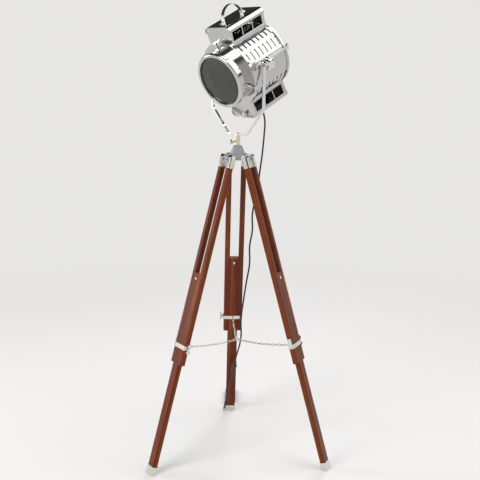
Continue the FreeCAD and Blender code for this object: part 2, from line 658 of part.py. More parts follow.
def make_drum():
    tube = turned("drum_tube", "y", [("drum_radius - sheet", "drum_front + sheet"), ("drum_radius", "drum_front + sheet"),
                                     ("drum_radius", "drum_rear"), ("drum_radius - sheet", "drum_rear")])
    tools = make_slots(1) + make_slots(-1)
    tools.append(box("drum_vents", ("-vent_half * 0.7", "vent_half * 0.7"), ("window_front", "vent_rear - 12"),
                     ("-drum_radius - 5", "drum_radius + 5")))
    node("drum_shell", cut("drum", tube, *tools), LAMP)

    lip = "(drum_radius + lip_wide)"
    plate = "(drum_front - sheet)"
    node("front_flange", turned("flange", "y", [
        ("barrel_radius", plate), (lip, plate, 1.2), (lip, "drum_front + lip_long"),
        ("drum_radius", "drum_front + lip_long"), ("drum_radius", "drum_front + sheet / 2"),
        ("barrel_radius", "drum_front + sheet / 2")]), LAMP)

    node("barrel", turned("snoot", "y", [
        ("barrel_radius - sheet", "barrel_front"), ("barrel_radius", "barrel_front"),
        ("barrel_radius", "drum_front + sheet / 2"), ("barrel_radius + 4", "drum_front + sheet / 2"),
        ("barrel_radius + 4", "drum_front + sheet * 1.5"), ("barrel_radius - sheet", "drum_front + sheet * 1.5")]), LAMP)

    node("lens_bezel", turned("bezel", "y", [
        (GLASS, "bezel_front", 0.8), (BEZEL, "bezel_front", 5.5), (BEZEL, "bezel_rear", 1.5),
        ("barrel_radius", "bezel_rear"), ("barrel_radius", "barrel_front"), (GLASS, "barrel_front")]), LAMP)

    glass = "(barrel_radius - sheet - side_gap)"
    node("lens", common("lens_glass", ball("lens_ball", "lens_curve", y="bezel_front + side_gap + lens_curve"),
                        rod("lens_disc", glass, ("bezel_front", "bezel_front + lens_thick"), "y")), LAMP)

    back = "(drum_rear + lip_wide)"
    node("rear_cap", turned("cap", "y", [
        (0, f"{back} + dome_rise"), ("drum_radius * 0.55", f"{back} + dome_rise * 0.75", 60),
        ("drum_radius * 0.9", back, 20), (lip, f"{back} - lip_wide", 3), (lip, "drum_rear - lip_long"),
        ("drum_radius", "drum_rear - lip_long"), ("drum_radius", "drum_rear"),
        ("drum_radius * 0.89", f"{back} - sheet", 20), ("drum_radius * 0.54", f"{back} + dome_rise * 0.75 - sheet", 60),
        (0, f"{back} + dome_rise - sheet")]), LAMP)


def make_side_rails():
    """A flat bar along each side of the drum at the height of the pivots, flared at both ends."""
    rails = []
    drum = rod("rail_bed", "drum_radius", ("side_rail_front - 9", "side_rail_rear + 9"), "y")
    for side in (-1, 1):
        span = ("drum_radius - 9", "side_rail_face") if side > 0 else ("-side_rail_face", "-drum_radius + 9")
        half = "side_rail_half"
        flare = "side_rail_flare"
        front = "side_rail_front"
        rear = "side_rail_rear"
        corners = [(front, f"axis_drop - {flare}", 1), (f"{front} + {flare}", f"axis_drop - {half}", 3),
                   (f"{rear} - {flare}", f"axis_drop - {half}", 3), (rear, f"axis_drop - {flare}", 1),
                   (rear, f"axis_drop + {flare}", 1), (f"{rear} - {flare}", f"axis_drop + {half}", 3),
                   (f"{front} + {flare}", f"axis_drop + {half}", 3), (front, f"axis_drop + {flare}", 1)]
        bar = prism(f"side_bar_{side + 1}", "yz", corners, span)
        cap = rod(f"side_bar_cap_{side + 1}", "drum_radius + lip_wide", ("drum_rear - lip_long", "side_rail_rear + 9"), "y")
        lip = rod(f"side_bar_lip_{side + 1}", "drum_radius + lip_wide", ("side_rail_front - 9", "drum_front + lip_long"), "y")
        rails.append(cut(f"side_rail_{side + 1}", bar, fuse(f"side_bar_seat_{side + 1}", drum, cap, lip)))
    node("side_rails", group("side_rail_pair", *rails), LAMP)


def make_vent(word, up):
    """A louvred box on the drum: end plates, posted side walls on a curb, and a folded roof over them."""
    wall = "(vent_half - sheet)"
    top = f"{up} * (vent_top - sheet)"

    def leaning(half, height):
        return f"({half} - vent_lean * (vent_top - ({height})))"

    def hood(name, half, crest, foot, rounding, span):
        low, high = leaning(half, foot), leaning(half, crest)
        return prism(name, "xz", [(f"-{low}", f"{up} * ({foot})"), (low, f"{up} * ({foot})"),
                                  (high, f"{up} * ({crest})", rounding), (f"-{high}", f"{up} * ({crest})", rounding)], span)

    shell = hood(f"{word}_vent_outside", "vent_half", "vent_top - sheet", "drum_radius * 0.7", "vent_round",
                 ("vent_front", "vent_rear"))
    curb_span = ("curb_low", "curb_high") if up > 0 else ("-curb_high", "-curb_low")
    ledge = f"({leaning('vent_half', 'curb_high')} + curb_reach)"
    curb = box(f"{word}_vent_curb", (f"-{ledge}", ledge), ("vent_front", "vent_rear"), curb_span)
    inside = hood(f"{word}_vent_inside", wall, "vent_top + 9", "drum_radius * 0.6", 0.5,
                  ("vent_front + sheet", "vent_rear - sheet"))
    tools = [inside]
    span = ("window_low", "window_high") if up > 0 else ("-window_high", "-window_low")
    for i in range(3):
        start = f"(window_front + (window_wide + window_post) * {i})"
        tools.append(box(f"{word}_window_{i}", ("-vent_half - 9", "vent_half + 9"), (start, f"{start} + window_wide"), span))
    drum = rod(f"{word}_vent_bed", "drum_radius", ("vent_front - 9", "vent_rear + 9"), "y")
    lips = [rod(f"{word}_vent_lip", "drum_radius + lip_wide", ("vent_front - 9", "drum_front + lip_long"), "y"),
            rod(f"{word}_vent_cap", "drum_radius + lip_wide", ("drum_rear - lip_long", "vent_rear + 9"), "y")]
    seat = fuse(f"{word}_vent_seat", drum, *lips)
    frame = cut(f"{word}_vent_open", fuse(f"{word}_vent_blank", shell, curb), *tools)
    node(f"{word}_vent", cut(f"{word}_vent_frame", frame, seat), LAMP)

    ends = ("vent_front - roof_over", "vent_rear + roof_over")
    over = "(vent_half + sheet)"
    sheet_out = hood(f"{word}_roof_outside", over, "vent_top", "vent_top - roof_skirt", "vent_round + sheet", ends)
    sheet_in = hood(f"{word}_roof_inside", "vent_half", "vent_top - sheet", "vent_top - roof_skirt - 9", "vent_round",
                    (f"{ends[0]} - 1", f"{ends[1]} + 1"))
    node(f"{word}_vent_roof", cut(f"{word}_roof", sheet_out, sheet_in), LAMP)


def make_handle():
    """A strap bent to a half ring on the upper roof, with a riveted foot at each end."""
    span = ("-handle_wide / 2", "handle_wide / 2")
    middle = ("handle_middle", "vent_top")
    ring = cut("handle_ring", rod("handle_out", "handle_radius", span, "x", middle),
               rod("handle_in", "handle_radius - handle_thick", ("-handle_wide", "handle_wide"), "x", middle))
    arch = common("handle_arch", ring, box("handle_above", ("-handle_wide", "handle_wide"),
                                           ("handle_middle - handle_radius", "handle_middle + handle_radius"),
                                           ("vent_top", "vent_top + handle_radius")))
    feet = []
    for side, word in ((-1, "front"), (1, "rear")):
        a = "handle_middle - handle_radius - handle_foot" if side < 0 else "handle_middle + handle_radius - handle_thick"
        b = "handle_middle - handle_radius + handle_thick" if side < 0 else "handle_middle + handle_radius + handle_foot"
        feet.append(box(f"handle_foot_{word}", span, (a, b), ("vent_top", "vent_top + handle_thick")))
    node("handle", fuse("handle_strap", arch, *feet), LAMP)


def make_lamp_inside():
    """The lamp holder on the rear cap, its bulb, and the dished reflector held between holder and drum."""
    back = "(drum_rear + lip_wide + dome_rise - sheet)"
    node("lamp_holder", turned("holder", "y", [
        (0, "holder_front + 14"), ("bulb_neck", "holder_front + 14"), ("bulb_neck", "holder_front"),
        ("holder_radius", "holder_front", 2), ("holder_radius", f"{back} - 22"), ("holder_radius * 1.3", f"{back} - 22"),
        ("holder_radius * 1.3", f"{back} - 2"), (0, f"{back} - 1")]), LAMP)
    node("bulb", fuse("bulb_glass", ball("bulb_globe", "bulb_radius", y="bulb_middle"),
                      rod("bulb_stem", "bulb_radius * 0.75", ("bulb_middle + bulb_radius * 0.6", "holder_front - 4"), "y",
                          far="bulb_neck"),
                      rod("bulb_cap", "bulb_neck", ("holder_front - 4", "holder_front + 14"), "y")), LAMP)
    rim = "(drum_radius - sheet - side_gap)"
    node("reflector", turned("dish", "y", [
        ("holder_radius", "holder_front + 10"), ("drum_radius * 0.55", "holder_front - 4", 40), (rim, "bulb_middle + 8"),
        (rim, "bulb_middle + 9.5"), ("drum_radius * 0.55", "holder_front - 2.5", 40), ("holder_radius", "holder_front + 11.5")]),
        LAMP)


# ---------------------------------------------------------------- chains
def chain_link(half, wide, wire):
    """One welded link along x, of eight-sided wire: two half rings joined by straight sides."""
    bend = wide / 2 - wire
    run = half - wire - bend
    corners = [Vector(run, bend + wire * math.cos(math.pi * (i + 0.5) / 4),
                      wire * math.sin(math.pi * (i + 0.5) / 4)) for i in range(8)]
    section = Part.Face(Part.makePolygon(corners + corners[:1]))
    half_ring = section.revolve(Vector(run, 0, 0), Vector(0, 0, 1), -180)
    straight = section.extrude(Vector(-2 * run, 0, 0))
    pieces = [half_ring, straight]
    for piece in (half_ring, straight):
        other = piece.copy()
        other.rotate(Vector(), Vector(0, 0, 1), 180)
        pieces.append(other)
    return pieces[0].fuse(pieces[1:]).removeSplitter()


def make_chains():
    """A loose ring on the upright axis and three chains of interlocking links out to the clamps."""
    wire = value("chain_wire")
    pitch = value("link_pitch")
    wide = value("link_wide")
    slope = math.radians(value("leg_angle"))
    station = value("clamp_station")
    inward = value("rail_depth / 2 + clamp_thick + eye_radius + eye_wire / 2") + value("eye_radius - eye_wire - chain_gap")
    far_r = value("hinge_radius") + station * math.sin(slope) - inward * math.cos(slope)
    far_z = value(HINGE_Z) - station * math.cos(slope) - inward * math.sin(slope)
    near_r = value("ring_radius - ring_wire - chain_gap")
    near_z = value("ring_height")
    sag = value("chain_sag")
    span = math.hypot(far_r - near_r, far_z - near_z)
    count = 2 * round(span / pitch / 2)
    for word, number in LEGS.items():
        links = []
        for i in range(count):
            def spot(share):
                return Vector(near_r + (far_r - near_r) * share, 0,
                              near_z + (far_z - near_z) * share - 4 * sag * share * (1 - share))
            a, b = spot(i / count), spot((i + 1) / count)
            run = b - a
            link = chain_link(run.Length / 2 + 2 * wire + value("chain_gap") / 2, wide, wire)
            link.rotate(Vector(), Vector(1, 0, 0), 0 if i % 2 else 90)
            link.Placement = Placement((a + b) / 2, Rotation(Vector(1, 0, 0), run)) * link.Placement
            links.append(link)
        chain = fixed(f"links_{word}", Part.makeCompound(links))
        node(f"chain_{word}", chain, move(turn=f"first_leg + 120 * {number}"))
    ring = turned("ring", "z", eight_sided("ring_radius", "ring_wire"))
    node("chain_ring", ring, move(z="ring_height"))


# ---------------------------------------------------------------- flex
# The flex's route, point by point: from the gland to the height where it leaves the yoke, on to the switch,
# and from the switch to the hank behind the back foot.
DROP_ROUTE = [(107, 90, 1237), (104, 97, 1190), (101.5, 106, 1150)]
LEG_ROUTE = [(101.5, 106, 1150), (98.9, 115.36, 1108.4), (93, 123, 1062), (88, 128, 1012), (76, 135, 945), (65, 141, 880),
             (70.5, 150, 822), (57, 161, 755), (63, 170, 690), (50, 182, 612), (39, 192, 528), (30, 207, 445),
             (34.5, 217, 387), (29, 229, 335)]
FLOOR_ROUTE = [(-7, 291, 140), (-15, 308, 98), (-22, 325, 58), (-25.4, 343, 25), (-26.6, 366, 4.6), (-25, 386, 3.3)]
SWITCH_TOP = Vector(12.3, 250, 262)
SWITCH_LEAN = Vector(-10, 13.5, -55)
HANK_PLACE = Vector(3.55, 426, 0)
HANK_AHEAD = Vector(0.0604, 0.9982, 0)


def rounded(points):
    """Straight runs joined by tangent arcs, and the arcs' radii."""
    edges, radii = [], []
    at = points[0]
    for i in range(1, len(points) - 1):
        back = points[i - 1] - points[i]
        ahead = points[i + 1] - points[i]
        turn = math.pi - back.getAngle(ahead)
        reach = 0.45 * min(back.Length, ahead.Length)
        radii.append(reach / math.tan(turn / 2))
        start = points[i] + back.normalize() * reach
        end = points[i] + ahead.normalize() * reach
        bisector = (back + ahead).normalize()
        middle = points[i] + bisector * (radii[-1] / math.cos(turn / 2) - radii[-1])
        edges.append(Part.LineSegment(at, start).toShape())
        edges.append(Part.Arc(start, middle, end).toShape())
        at = end
    edges.append(Part.LineSegment(at, points[-1]).toShape())
    return edges, radii


def tube(label, route):
    """A stretch of flex along a route."""
    points = [Vector(*point) for point in route]
    edges, radii = rounded(points)
    path = Part.Wire(edges)
    solid = sweep(path, points[0], points[1] - points[0])
    print(f"{label}: length {path.Length:.0f}, bend radii {[round(r) for r in radii]}, volume over section times length "
          f"{solid.Volume / (math.pi * value('cord_radius') ** 2 * path.Length):.4f}")
    return solid


def sweep(path, start, heading):
    section = Part.Wire(Part.Circle(start, heading, value("cord_radius")).toShape())
    return path.makePipeShell([section], True, False)


def bow(start, heading, end):
    """The arc from start to end that leaves along heading."""
    chord = end - start
    along = Vector(chord).normalize()
    side = heading - along * heading.dot(along)
    if side.Length < 1e-6:
        return Part.LineSegment(start, end).toShape()
    sweep_angle = heading.getAngle(chord)
    middle = (start + end) / 2 + side.normalize() * (chord.Length / 2 * math.tan(sweep_angle / 2))
    return Part.Arc(start, middle, end).toShape()


def biarc(start, heading, end, leaving):
    """Two tangent arcs between two points with given directions."""
    v = end - start
    both = heading + leaving
    bend = 2 * (1 - heading.dot(leaving))
    reach = (-v.dot(both) + math.sqrt(v.dot(both) ** 2 + bend * v.dot(v))) / bend
    joint = (start + end + (heading - leaving) * reach) / 2
    across = (joint - start) * 2
    arrive = across / across.Length * (2 * heading.dot(across) / across.Length) - heading
    return [bow(start, heading, joint), bow(joint, arrive, end)]


def make_hank():
    """The spare flex, wound into a long loop of stacked turns, with its end led down to the plug inside them."""
    end = value("hank_end")
    run = value("hank_run")
    pitch = value("hank_pitch")
    low = value("cord_radius") + 0.5
    loops = round(value("hank_loops"))
    aside = HANK_AHEAD.cross(Vector(0, 0, 1))
    turn_length = 2 * run + 2 * math.pi * end
    slope = pitch / turn_length

    def spot(across, along, height):
        return HANK_PLACE + aside * across + HANK_AHEAD * along + Vector(0, 0, height)

    def heading(across, along):
        return (aside * across + HANK_AHEAD * along + Vector(0, 0, slope)).normalize()

    # a turn's stations: where it is, which way it heads, and how far round the turn it lies
    quarter = math.pi * end / 2
    stations = [(-end, 0, 0, 1, 0), (-end, run, 0, 1, run), (0, run + end, 1, 0, run + quarter),
                (end, run, 0, -1, run + 2 * quarter), (end, 0, 0, -1, 2 * run + 2 * quarter),
                (0, -end, -1, 0, 2 * run + 3 * quarter)]
    places = []
    for turn in range(loops):
        places += [(spot(u, v, low + pitch * turn + slope * far), heading(du, dv)) for u, v, du, dv, far in stations]
    top = low + pitch * loops
    places.append((spot(-end, 0, top), heading(0, 1)))
    begin = places[0][0] - places[0][1] * value("2 * cord_radius")
    edges = [Part.LineSegment(begin, places[0][0]).toShape()]
    for (start, going), (stop, leaving) in zip(places, places[1:]):
        if going.dot(leaving) > 0.9999:
            edges.append(Part.LineSegment(start, stop).toShape())
        else:
            edges += biarc(start, going, stop, leaving)
    rest = (top + low) / 2 - 3.5
    tail = [spot(-end, 0, top), spot(-end, 8, top + 8 * slope), spot(-end + 3.5, 20, top + 0.2), spot(-7, 33, top - 4),
            spot(-1, 47, rest + 1.5), spot(0, 56, rest), spot(0, 64, rest)]
    bends, radii = rounded(tail)
    path = Part.Wire(edges + bends)
    spots = path.discretize(Distance=2)
    skip = 8
    least = min((spots[i] - spots[j]).Length for i in range(len(spots)) for j in range(i + skip, len(spots)))
    print(f"hank: length {path.Length:.0f}, least gap to itself {least - value('2 * cord_radius'):.2f}, "
          f"bend radii at the plug {[round(r) for r in radii]}")
    node("cord_coil", fixed("hank_tube", sweep(path, begin, places[0][1])))
    return begin, places[0][1], tail[-1]


def make_flex():
    """Gland, flex, in-line rocker switch, hank and plug."""
    node("gland", fuse("gland_whole", rod("gland_seat", "gland_flange", ("-vent_top - 3", "-vent_top"), "z",
                                          (0, "gland_place")),
                       rod("gland_sleeve", "cord_radius + 0.6", ("-vent_top - relief_long", "-vent_top - 3"), "z",
                           (0, "gland_place"), far="relief_wide")), LAMP)
    lamp = sheet.evalExpression(formula(LAMP))
    tip = lamp.multVec(Vector(0, value("gland_place"), -value("vent_top + relief_long")))
    down = lamp.Rotation.multVec(Vector(0, 0, -1))
    node("cord_upper", fixed("flex_upper", tube("cord_upper", [tip, tip + down * 28] + DROP_ROUTE[1:])))

    axis = Vector(SWITCH_LEAN).normalize()
    top = SWITCH_TOP
    bottom = top + axis * value("switch_long")
    node("cord_lower", fixed("flex_lower", tube("cord_lower", LEG_ROUTE + [top - axis * 30, top])))

    middle = (top + bottom) / 2
    lean = Placement(middle, Rotation(Vector(0, 0, -1), axis) * Rotation(Vector(0, 0, 1), 90))
    wide = "(switch_wide / 2)"
    thick = "(switch_thick / 2)"
    waist = "(switch_long / 2 - 8)"
    shell = prism("switch_shell", "xy", [(f"-{wide}", f"-{thick}", 5), (wide, f"-{thick}", 5), (wide, thick, 5),
                                         (f"-{wide}", thick, 5)], (f"-{waist}", waist))
    ends = [rod("switch_neck_top", f"{thick} - 1", (waist, "switch_long / 2"), far="cord_radius + 1"),
            rod("switch_neck_bottom", "cord_radius + 1", ("-switch_long / 2", f"-{waist}"), far=f"{thick} - 1")]
    pocket = box("switch_pocket", ("-rocker_wide / 2 - side_gap", "rocker_wide / 2 + side_gap"),
                 (f"-{thick} - 1", "-1"), ("-rocker_long / 2 - 1.2", "rocker_long / 2 + 1.2"))
    body = cut("switch_case", fuse("switch_form", shell, *ends), pocket)
    body.Placement = lean
    node("switch_body", body)
    crest = f"(-{thick} + 2.6)"
    rocker = prism("rocker_key", "yz", [
        (f"{crest} - 2.2", "-rocker_long / 2", 0.8), (f"{crest} - 0.8", 0, 30), (f"{crest} - 2.2", "rocker_long / 2", 0.8),
        (1, "rocker_long / 2 - 2", 0.8), (1, "-rocker_long / 2 + 2", 0.8)], ("-rocker_wide / 2", "rocker_wide / 2"))
    rocker.Placement = lean * Placement(Vector(0, -4, 0), Rotation(Vector(1, 0, 0), 7))
    node("switch_rocker", rocker)

    begin, arriving, finish = make_hank()
    lead = begin - arriving * 18
    node("cord_floor", fixed("flex_floor", tube("cord_floor", [bottom, bottom + axis * 28] + FLOOR_ROUTE + [lead, begin])))

    tall = finish.z
    grip = prism("plug_grip", "xy", [(0, "-cord_radius - 1.5"), ("plug_long * 0.55", "-plug_radius", 8),
                                     ("plug_long", "-plug_radius", 2), ("plug_long", "plug_radius", 2),
                                     ("plug_long * 0.55", "plug_radius", 8), (0, "cord_radius + 1.5")], (-tall, tall))
    pins = [rod(f"plug_pin_{side + 1}", 2, ("plug_long", "plug_long + 19"), "x", (f"{side} * 9.5", 0))
            for side in (-1, 1)]
    plug = fuse("plug_whole", grip, *pins)
    plug.Placement = Placement(finish, Rotation(Vector(1, 0, 0), HANK_AHEAD))
    node("plug", plug)


# ---------------------------------------------------------------- build and write
make_hub()
make_spigot()
for leg_word, leg_number in LEGS.items():
    make_leg(leg_word, leg_number)
make_yoke()
make_pivots()
make_drum()
make_side_rails()
make_vent("top", 1)
make_vent("bottom", -1)
make_handle()
make_lamp_inside()
make_chains()
make_flex()

doc.recompute()
for thing in doc.Objects:
    if "Invalid" in thing.State or "Error" in thing.State:
        raise RuntimeError(f"{thing.Label} failed: {thing.State}")
for name, thing in made.items():
    if thing.Shape.isNull() or not thing.Shape.isValid() or not thing.Shape.Solids:
        raise RuntimeError(f"{name} has no valid solid")
os.makedirs("parts", exist_ok=True)
for name, thing in made.items():
    thing.Shape.exportStep(f"parts/{name}.step")
    print(f"{name:24} solids {len(thing.Shape.Solids):3} volume {thing.Shape.Volume / 1000:9.2f} cm3")
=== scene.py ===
# %% [markdown]
# # A tripod spotlight, dressed for its portrait
# The lamp's metal and wood come ready built, one object for each part. This lesson sets up the camera and
# the studio, lays the flex, gives every part its finish, and adds the small fixings that a maker would
# add last: rivets, screws, two turned knobs and three latches.

# %% Load the lamp
import bpy
import math
from mathutils import Matrix, Vector


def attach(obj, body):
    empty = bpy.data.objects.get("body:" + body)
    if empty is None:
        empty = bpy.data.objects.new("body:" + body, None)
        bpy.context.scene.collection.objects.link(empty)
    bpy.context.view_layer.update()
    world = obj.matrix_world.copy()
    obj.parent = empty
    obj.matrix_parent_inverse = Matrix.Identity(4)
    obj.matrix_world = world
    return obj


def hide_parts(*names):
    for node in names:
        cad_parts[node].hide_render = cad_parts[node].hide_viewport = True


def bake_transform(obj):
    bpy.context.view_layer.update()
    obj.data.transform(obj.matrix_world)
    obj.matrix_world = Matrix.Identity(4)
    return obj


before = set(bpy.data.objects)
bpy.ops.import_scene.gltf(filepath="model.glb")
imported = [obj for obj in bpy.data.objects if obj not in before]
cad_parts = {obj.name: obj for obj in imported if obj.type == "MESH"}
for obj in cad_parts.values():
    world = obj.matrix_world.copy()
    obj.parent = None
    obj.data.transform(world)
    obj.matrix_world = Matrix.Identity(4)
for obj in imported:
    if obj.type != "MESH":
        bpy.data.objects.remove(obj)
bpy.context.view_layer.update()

# %% [markdown]
# ## The camera
# The portrait is taken from about three metres away, at the height of the lamp head, looking a little down.
# The camera's place, its three turns and its long lens were found by fitting the tripod's joints and feet.

# %% Camera
FOCAL = 63.45
CAMERA_PLACE = Vector((-0.2032, -2.9931, 1.4697))
CAMERA_DOWN, CAMERA_SIDE, CAMERA_ROLL = math.radians(12.275), math.radians(4.089), math.radians(0.379)

bpy.ops.object.camera_add()
camera = bpy.context.object
camera.name = "portrait_camera"
camera.data.lens = FOCAL
camera.matrix_world = (Matrix.Translation(CAMERA_PLACE) @ Matrix.Rotation(-CAMERA_SIDE, 4, "Z")
                       @ Matrix.Rotation(math.pi / 2 - CAMERA_DOWN, 4, "X") @ Matrix.Rotation(CAMERA_ROLL, 4, "Z"))
bpy.context.scene.camera = camera
print("camera at", [round(v, 3) for v in camera.location])

# %% [markdown]
# ## Node helpers
# Every finish below is a small network of shader nodes. A few helpers keep those networks short: they add a
# node and fill in its settings, blend or calculate with its values, and start a material.


# %% Node helpers
def add(tree, kind, inputs=None, **settings):
    node = tree.nodes.new(kind)
    for name, setting in settings.items():
        setattr(node, name, setting)
    for name, source in (inputs or {}).items():
        if isinstance(source, bpy.types.NodeSocket):
            tree.links.new(source, node.inputs[name])
        else:
            node.inputs[name].default_value = source
    return node


def ramp(tree, factor, stops):
    """A colour ramp from (place, colour) stops; a plain number stands for a grey."""
    node = add(tree, "ShaderNodeValToRGB", {"Fac": factor})
    for index, (place, colour) in enumerate(stops):
        if index < 2:
            stop = node.color_ramp.elements[index]
            stop.position = place
        else:
            stop = node.color_ramp.elements.new(place)
        stop.color = (*colour, 1) if isinstance(colour, tuple) else (colour, colour, colour, 1)
    return node.outputs["Color"]


def mix(tree, factor, a, b, **settings):
    """A mix of two colours, each a socket or a plain colour."""
    node = add(tree, "ShaderNodeMix", data_type="RGBA", **settings)
    for index, source in ((0, factor), (6, a), (7, b)):
        if isinstance(source, bpy.types.NodeSocket):
            tree.links.new(source, node.inputs[index])
        else:
            node.inputs[index].default_value = source if index == 0 else (*source, 1)
    return node.outputs[2]


def start_finish(name, **sockets):
    """A new material, its node tree and its main shader with the given fixed sockets."""
    material = bpy.data.materials.new(name)
    material.use_nodes = True
    shader = material.node_tree.nodes["Principled BSDF"]
    for socket, setting in sockets.items():
        shader.inputs[socket.replace("_", " ")].default_value = setting
    return material, material.node_tree, shader


def calculate(tree, operation, a, b=0.0):
    node = add(tree, "ShaderNodeMath", operation=operation)
    for index, source in enumerate((a, b)):
        if isinstance(source, bpy.types.NodeSocket):
            tree.links.new(source, node.inputs[index])
        else:
            node.inputs[index].default_value = source
    return node.outputs[0]


print("helpers ready")

# %% [markdown]
# ## The studio
# A round pale sweep stands in for floor and backdrop, so the lamp can be looked at from every side. It is a
# disc whose rim is drawn up and rounded. Near the lamp it is a lit floor that takes the shadow. Further out
# it fades into an even pale tone that only the camera, mirrors and glass see, so no horizon shows and the
# backdrop throws no light of its own on the lamp.

# %% Floor and backdrop
SWEEP_RADIUS, SWEEP_WALL = 7.0, 0.9
BEND_STEPS, BEND_LONG = 12, 0.22
FADE_FROM, FADE_TO = 0.9, 3.2
FLOOR_TONE, BACKDROP_TONE = (0.80, 0.79, 0.775), (0.80, 0.795, 0.785)

bpy.ops.object.select_all(action="DESELECT")
bpy.ops.mesh.primitive_circle_add(vertices=96, radius=SWEEP_RADIUS, fill_type="NGON")
sweep = bpy.context.object
sweep.name = "studio_sweep"
bpy.ops.object.mode_set(mode="EDIT")
bpy.ops.mesh.select_mode(type="EDGE")
bpy.ops.mesh.select_all(action="SELECT")
bpy.ops.mesh.region_to_loop()
for step in range(1, BEND_STEPS + 1):
    lean = math.radians(90 / BEND_STEPS * step)
    rise, out = math.sin(lean) * BEND_LONG, math.cos(lean) * BEND_LONG
    reach = 1 + out / SWEEP_RADIUS
    bpy.ops.mesh.extrude_edges_move(TRANSFORM_OT_translate={"value": (0, 0, rise)})
    bpy.ops.transform.resize(value=(reach, reach, 1))
bpy.ops.mesh.extrude_edges_move(TRANSFORM_OT_translate={"value": (0, 0, SWEEP_WALL)})
bpy.ops.object.mode_set(mode="OBJECT")
bpy.ops.object.shade_smooth()
print("sweep faces:", len(sweep.data.polygons))

# %% Floor finish
floor_finish, tree, shader = start_finish("pale_sweep", Roughness=0.9, Specular_IOR_Level=0.1)
shader.inputs["Base Color"].default_value = (*FLOOR_TONE, 1)
spot = add(tree, "ShaderNodeVectorMath", {"Vector": add(tree, "ShaderNodeTexCoord").outputs["Object"]},
           operation="LENGTH")
far_out = add(tree, "ShaderNodeMapRange", {"Value": spot.outputs["Value"], "From Min": FADE_FROM,
                                           "From Max": FADE_TO}, interpolation_type="SMOOTHSTEP")
rays = add(tree, "ShaderNodeLightPath")
looked_at = calculate(tree, "MAXIMUM", rays.outputs["Is Camera Ray"],
                      calculate(tree, "MAXIMUM", rays.outputs["Is Glossy Ray"], rays.outputs["Is Transmission Ray"]))
even = add(tree, "ShaderNodeEmission", {"Color": (*BACKDROP_TONE, 1)})
blend_in = add(tree, "ShaderNodeMixShader",
               {"Fac": calculate(tree, "MULTIPLY", far_out.outputs["Result"], looked_at)})
tree.links.new(shader.outputs[0], blend_in.inputs[1])
tree.links.new(even.outputs[0], blend_in.inputs[2])
tree.links.new(blend_in.outputs[0], tree.nodes["Material Output"].inputs["Surface"])
sweep.data.materials.append(floor_finish)
print("made", floor_finish.name)

# %% [markdown]
# ## The light
# Polished metal shows little more than what surrounds it. Large soft lamps give it its broad highlights, and
# a sky that is dark overhead, seen only in mirrors and glass, gives the dark streaks between them.

# %% Lamps and sky
SOFT_BOXES = [("key_box", (-2.6, -2.4, 3.6), (2.2, 2.2), 104), ("top_box", (1.9, -0.6, 3.6), (2.9, 3.3), 56),
              ("back_box", (1.2, 2.8, 3.4), (1.7, 1.1), 50), ("low_box", (-3.2, 0.8, 1.4), (0.5, 1.8), 22)]
AIM = Vector((0, 0, 1.1))
MIRRORED_SKY = [(0.0, 0.78), (0.13, 0.72), (0.24, 0.05), (0.9, 0.02)]
AMBIENT = (0.42, 0.42, 0.425)

for name, place, size, power in SOFT_BOXES:
    bpy.ops.object.light_add(type="AREA", location=place)
    lamp = bpy.context.object
    lamp.name = name
    lamp.data.shape = "RECTANGLE"
    lamp.data.size, lamp.data.size_y = size
    lamp.data.energy = power
    lamp.rotation_euler = (Vector(place) - AIM).to_track_quat("Z", "Y").to_euler()

world = bpy.data.worlds.new("studio_sky")
bpy.context.scene.world = world
world.use_nodes = True
tree = world.node_tree
background = tree.nodes["Background"]
height = add(tree, "ShaderNodeSeparateXYZ", {"Vector": add(tree, "ShaderNodeTexCoord").outputs["Generated"]})
sky = ramp(tree, height.outputs["Z"], MIRRORED_SKY)
light_path = add(tree, "ShaderNodeLightPath")
seen = calculate(tree, "MAXIMUM", light_path.outputs["Is Glossy Ray"], light_path.outputs["Is Transmission Ray"])
ambient = mix(tree, seen, AMBIENT, sky)
tree.links.new(mix(tree, light_path.outputs["Is Camera Ray"], ambient, BACKDROP_TONE), background.inputs["Color"])
bpy.context.scene.view_settings.view_transform = "Standard"
print("lamps:", len(SOFT_BOXES))

# %% [markdown]
# ## Where things are
# The head is turned to one side and nods down, and each leg leans outwards. These matrices place a piece
# that was modelled upright: `HEAD` takes the head's own axes, lens towards -Y, to the lamp, and `leg_place`
# takes a leg's, with Z up along the wood, to that leg.

# %% Places
PAN, TILT = math.radians(-49.9), math.radians(24.8)
LEG_LEAN, LEG_LONG, HINGE_OUT = math.radians(16.3), 1.166, 0.040
HINGE_UP = LEG_LONG * math.cos(LEG_LEAN)
AXIS_DROP, BASE_RISE, PIVOT_RISE = 0.020, 0.0798, 0.248
PIVOT = Vector((0, 0, HINGE_UP + BASE_RISE + PIVOT_RISE))
HEAD = (Matrix.Translation(PIVOT) @ Matrix.Rotation(PAN, 4, "Z") @ Matrix.Rotation(TILT, 4, "X")
        @ Matrix.Translation((0, 0, -AXIS_DROP)))
LEGS = {"back": math.radians(90), "left": math.radians(210), "right": math.radians(330)}


def leg_place(word):
    turn = LEGS[word]
    hinge = Vector((HINGE_OUT * math.cos(turn), HINGE_OUT * math.sin(turn), HINGE_UP))
    return Matrix.Translation(hinge) @ Matrix.Rotation(turn, 4, "Z") @ Matrix.Rotation(-LEG_LEAN, 4, "Y")


print("tilt axis height:", round(PIVOT.z, 4))

# %% [markdown]
# The new pieces are measured in millimetres. Most are made about the origin and then settled: moved to their
# place, given their finish and tied to the part that they move with.

# %% Helpers for new pieces
MM = 0.001


def metres(points):
    return [Vector(point) * MM for point in points]


def pick(piece):
    """Makes a piece the only selected one, and the active one."""
    bpy.ops.object.select_all(action="DESELECT")
    piece.select_set(True)
    bpy.context.view_layer.objects.active = piece


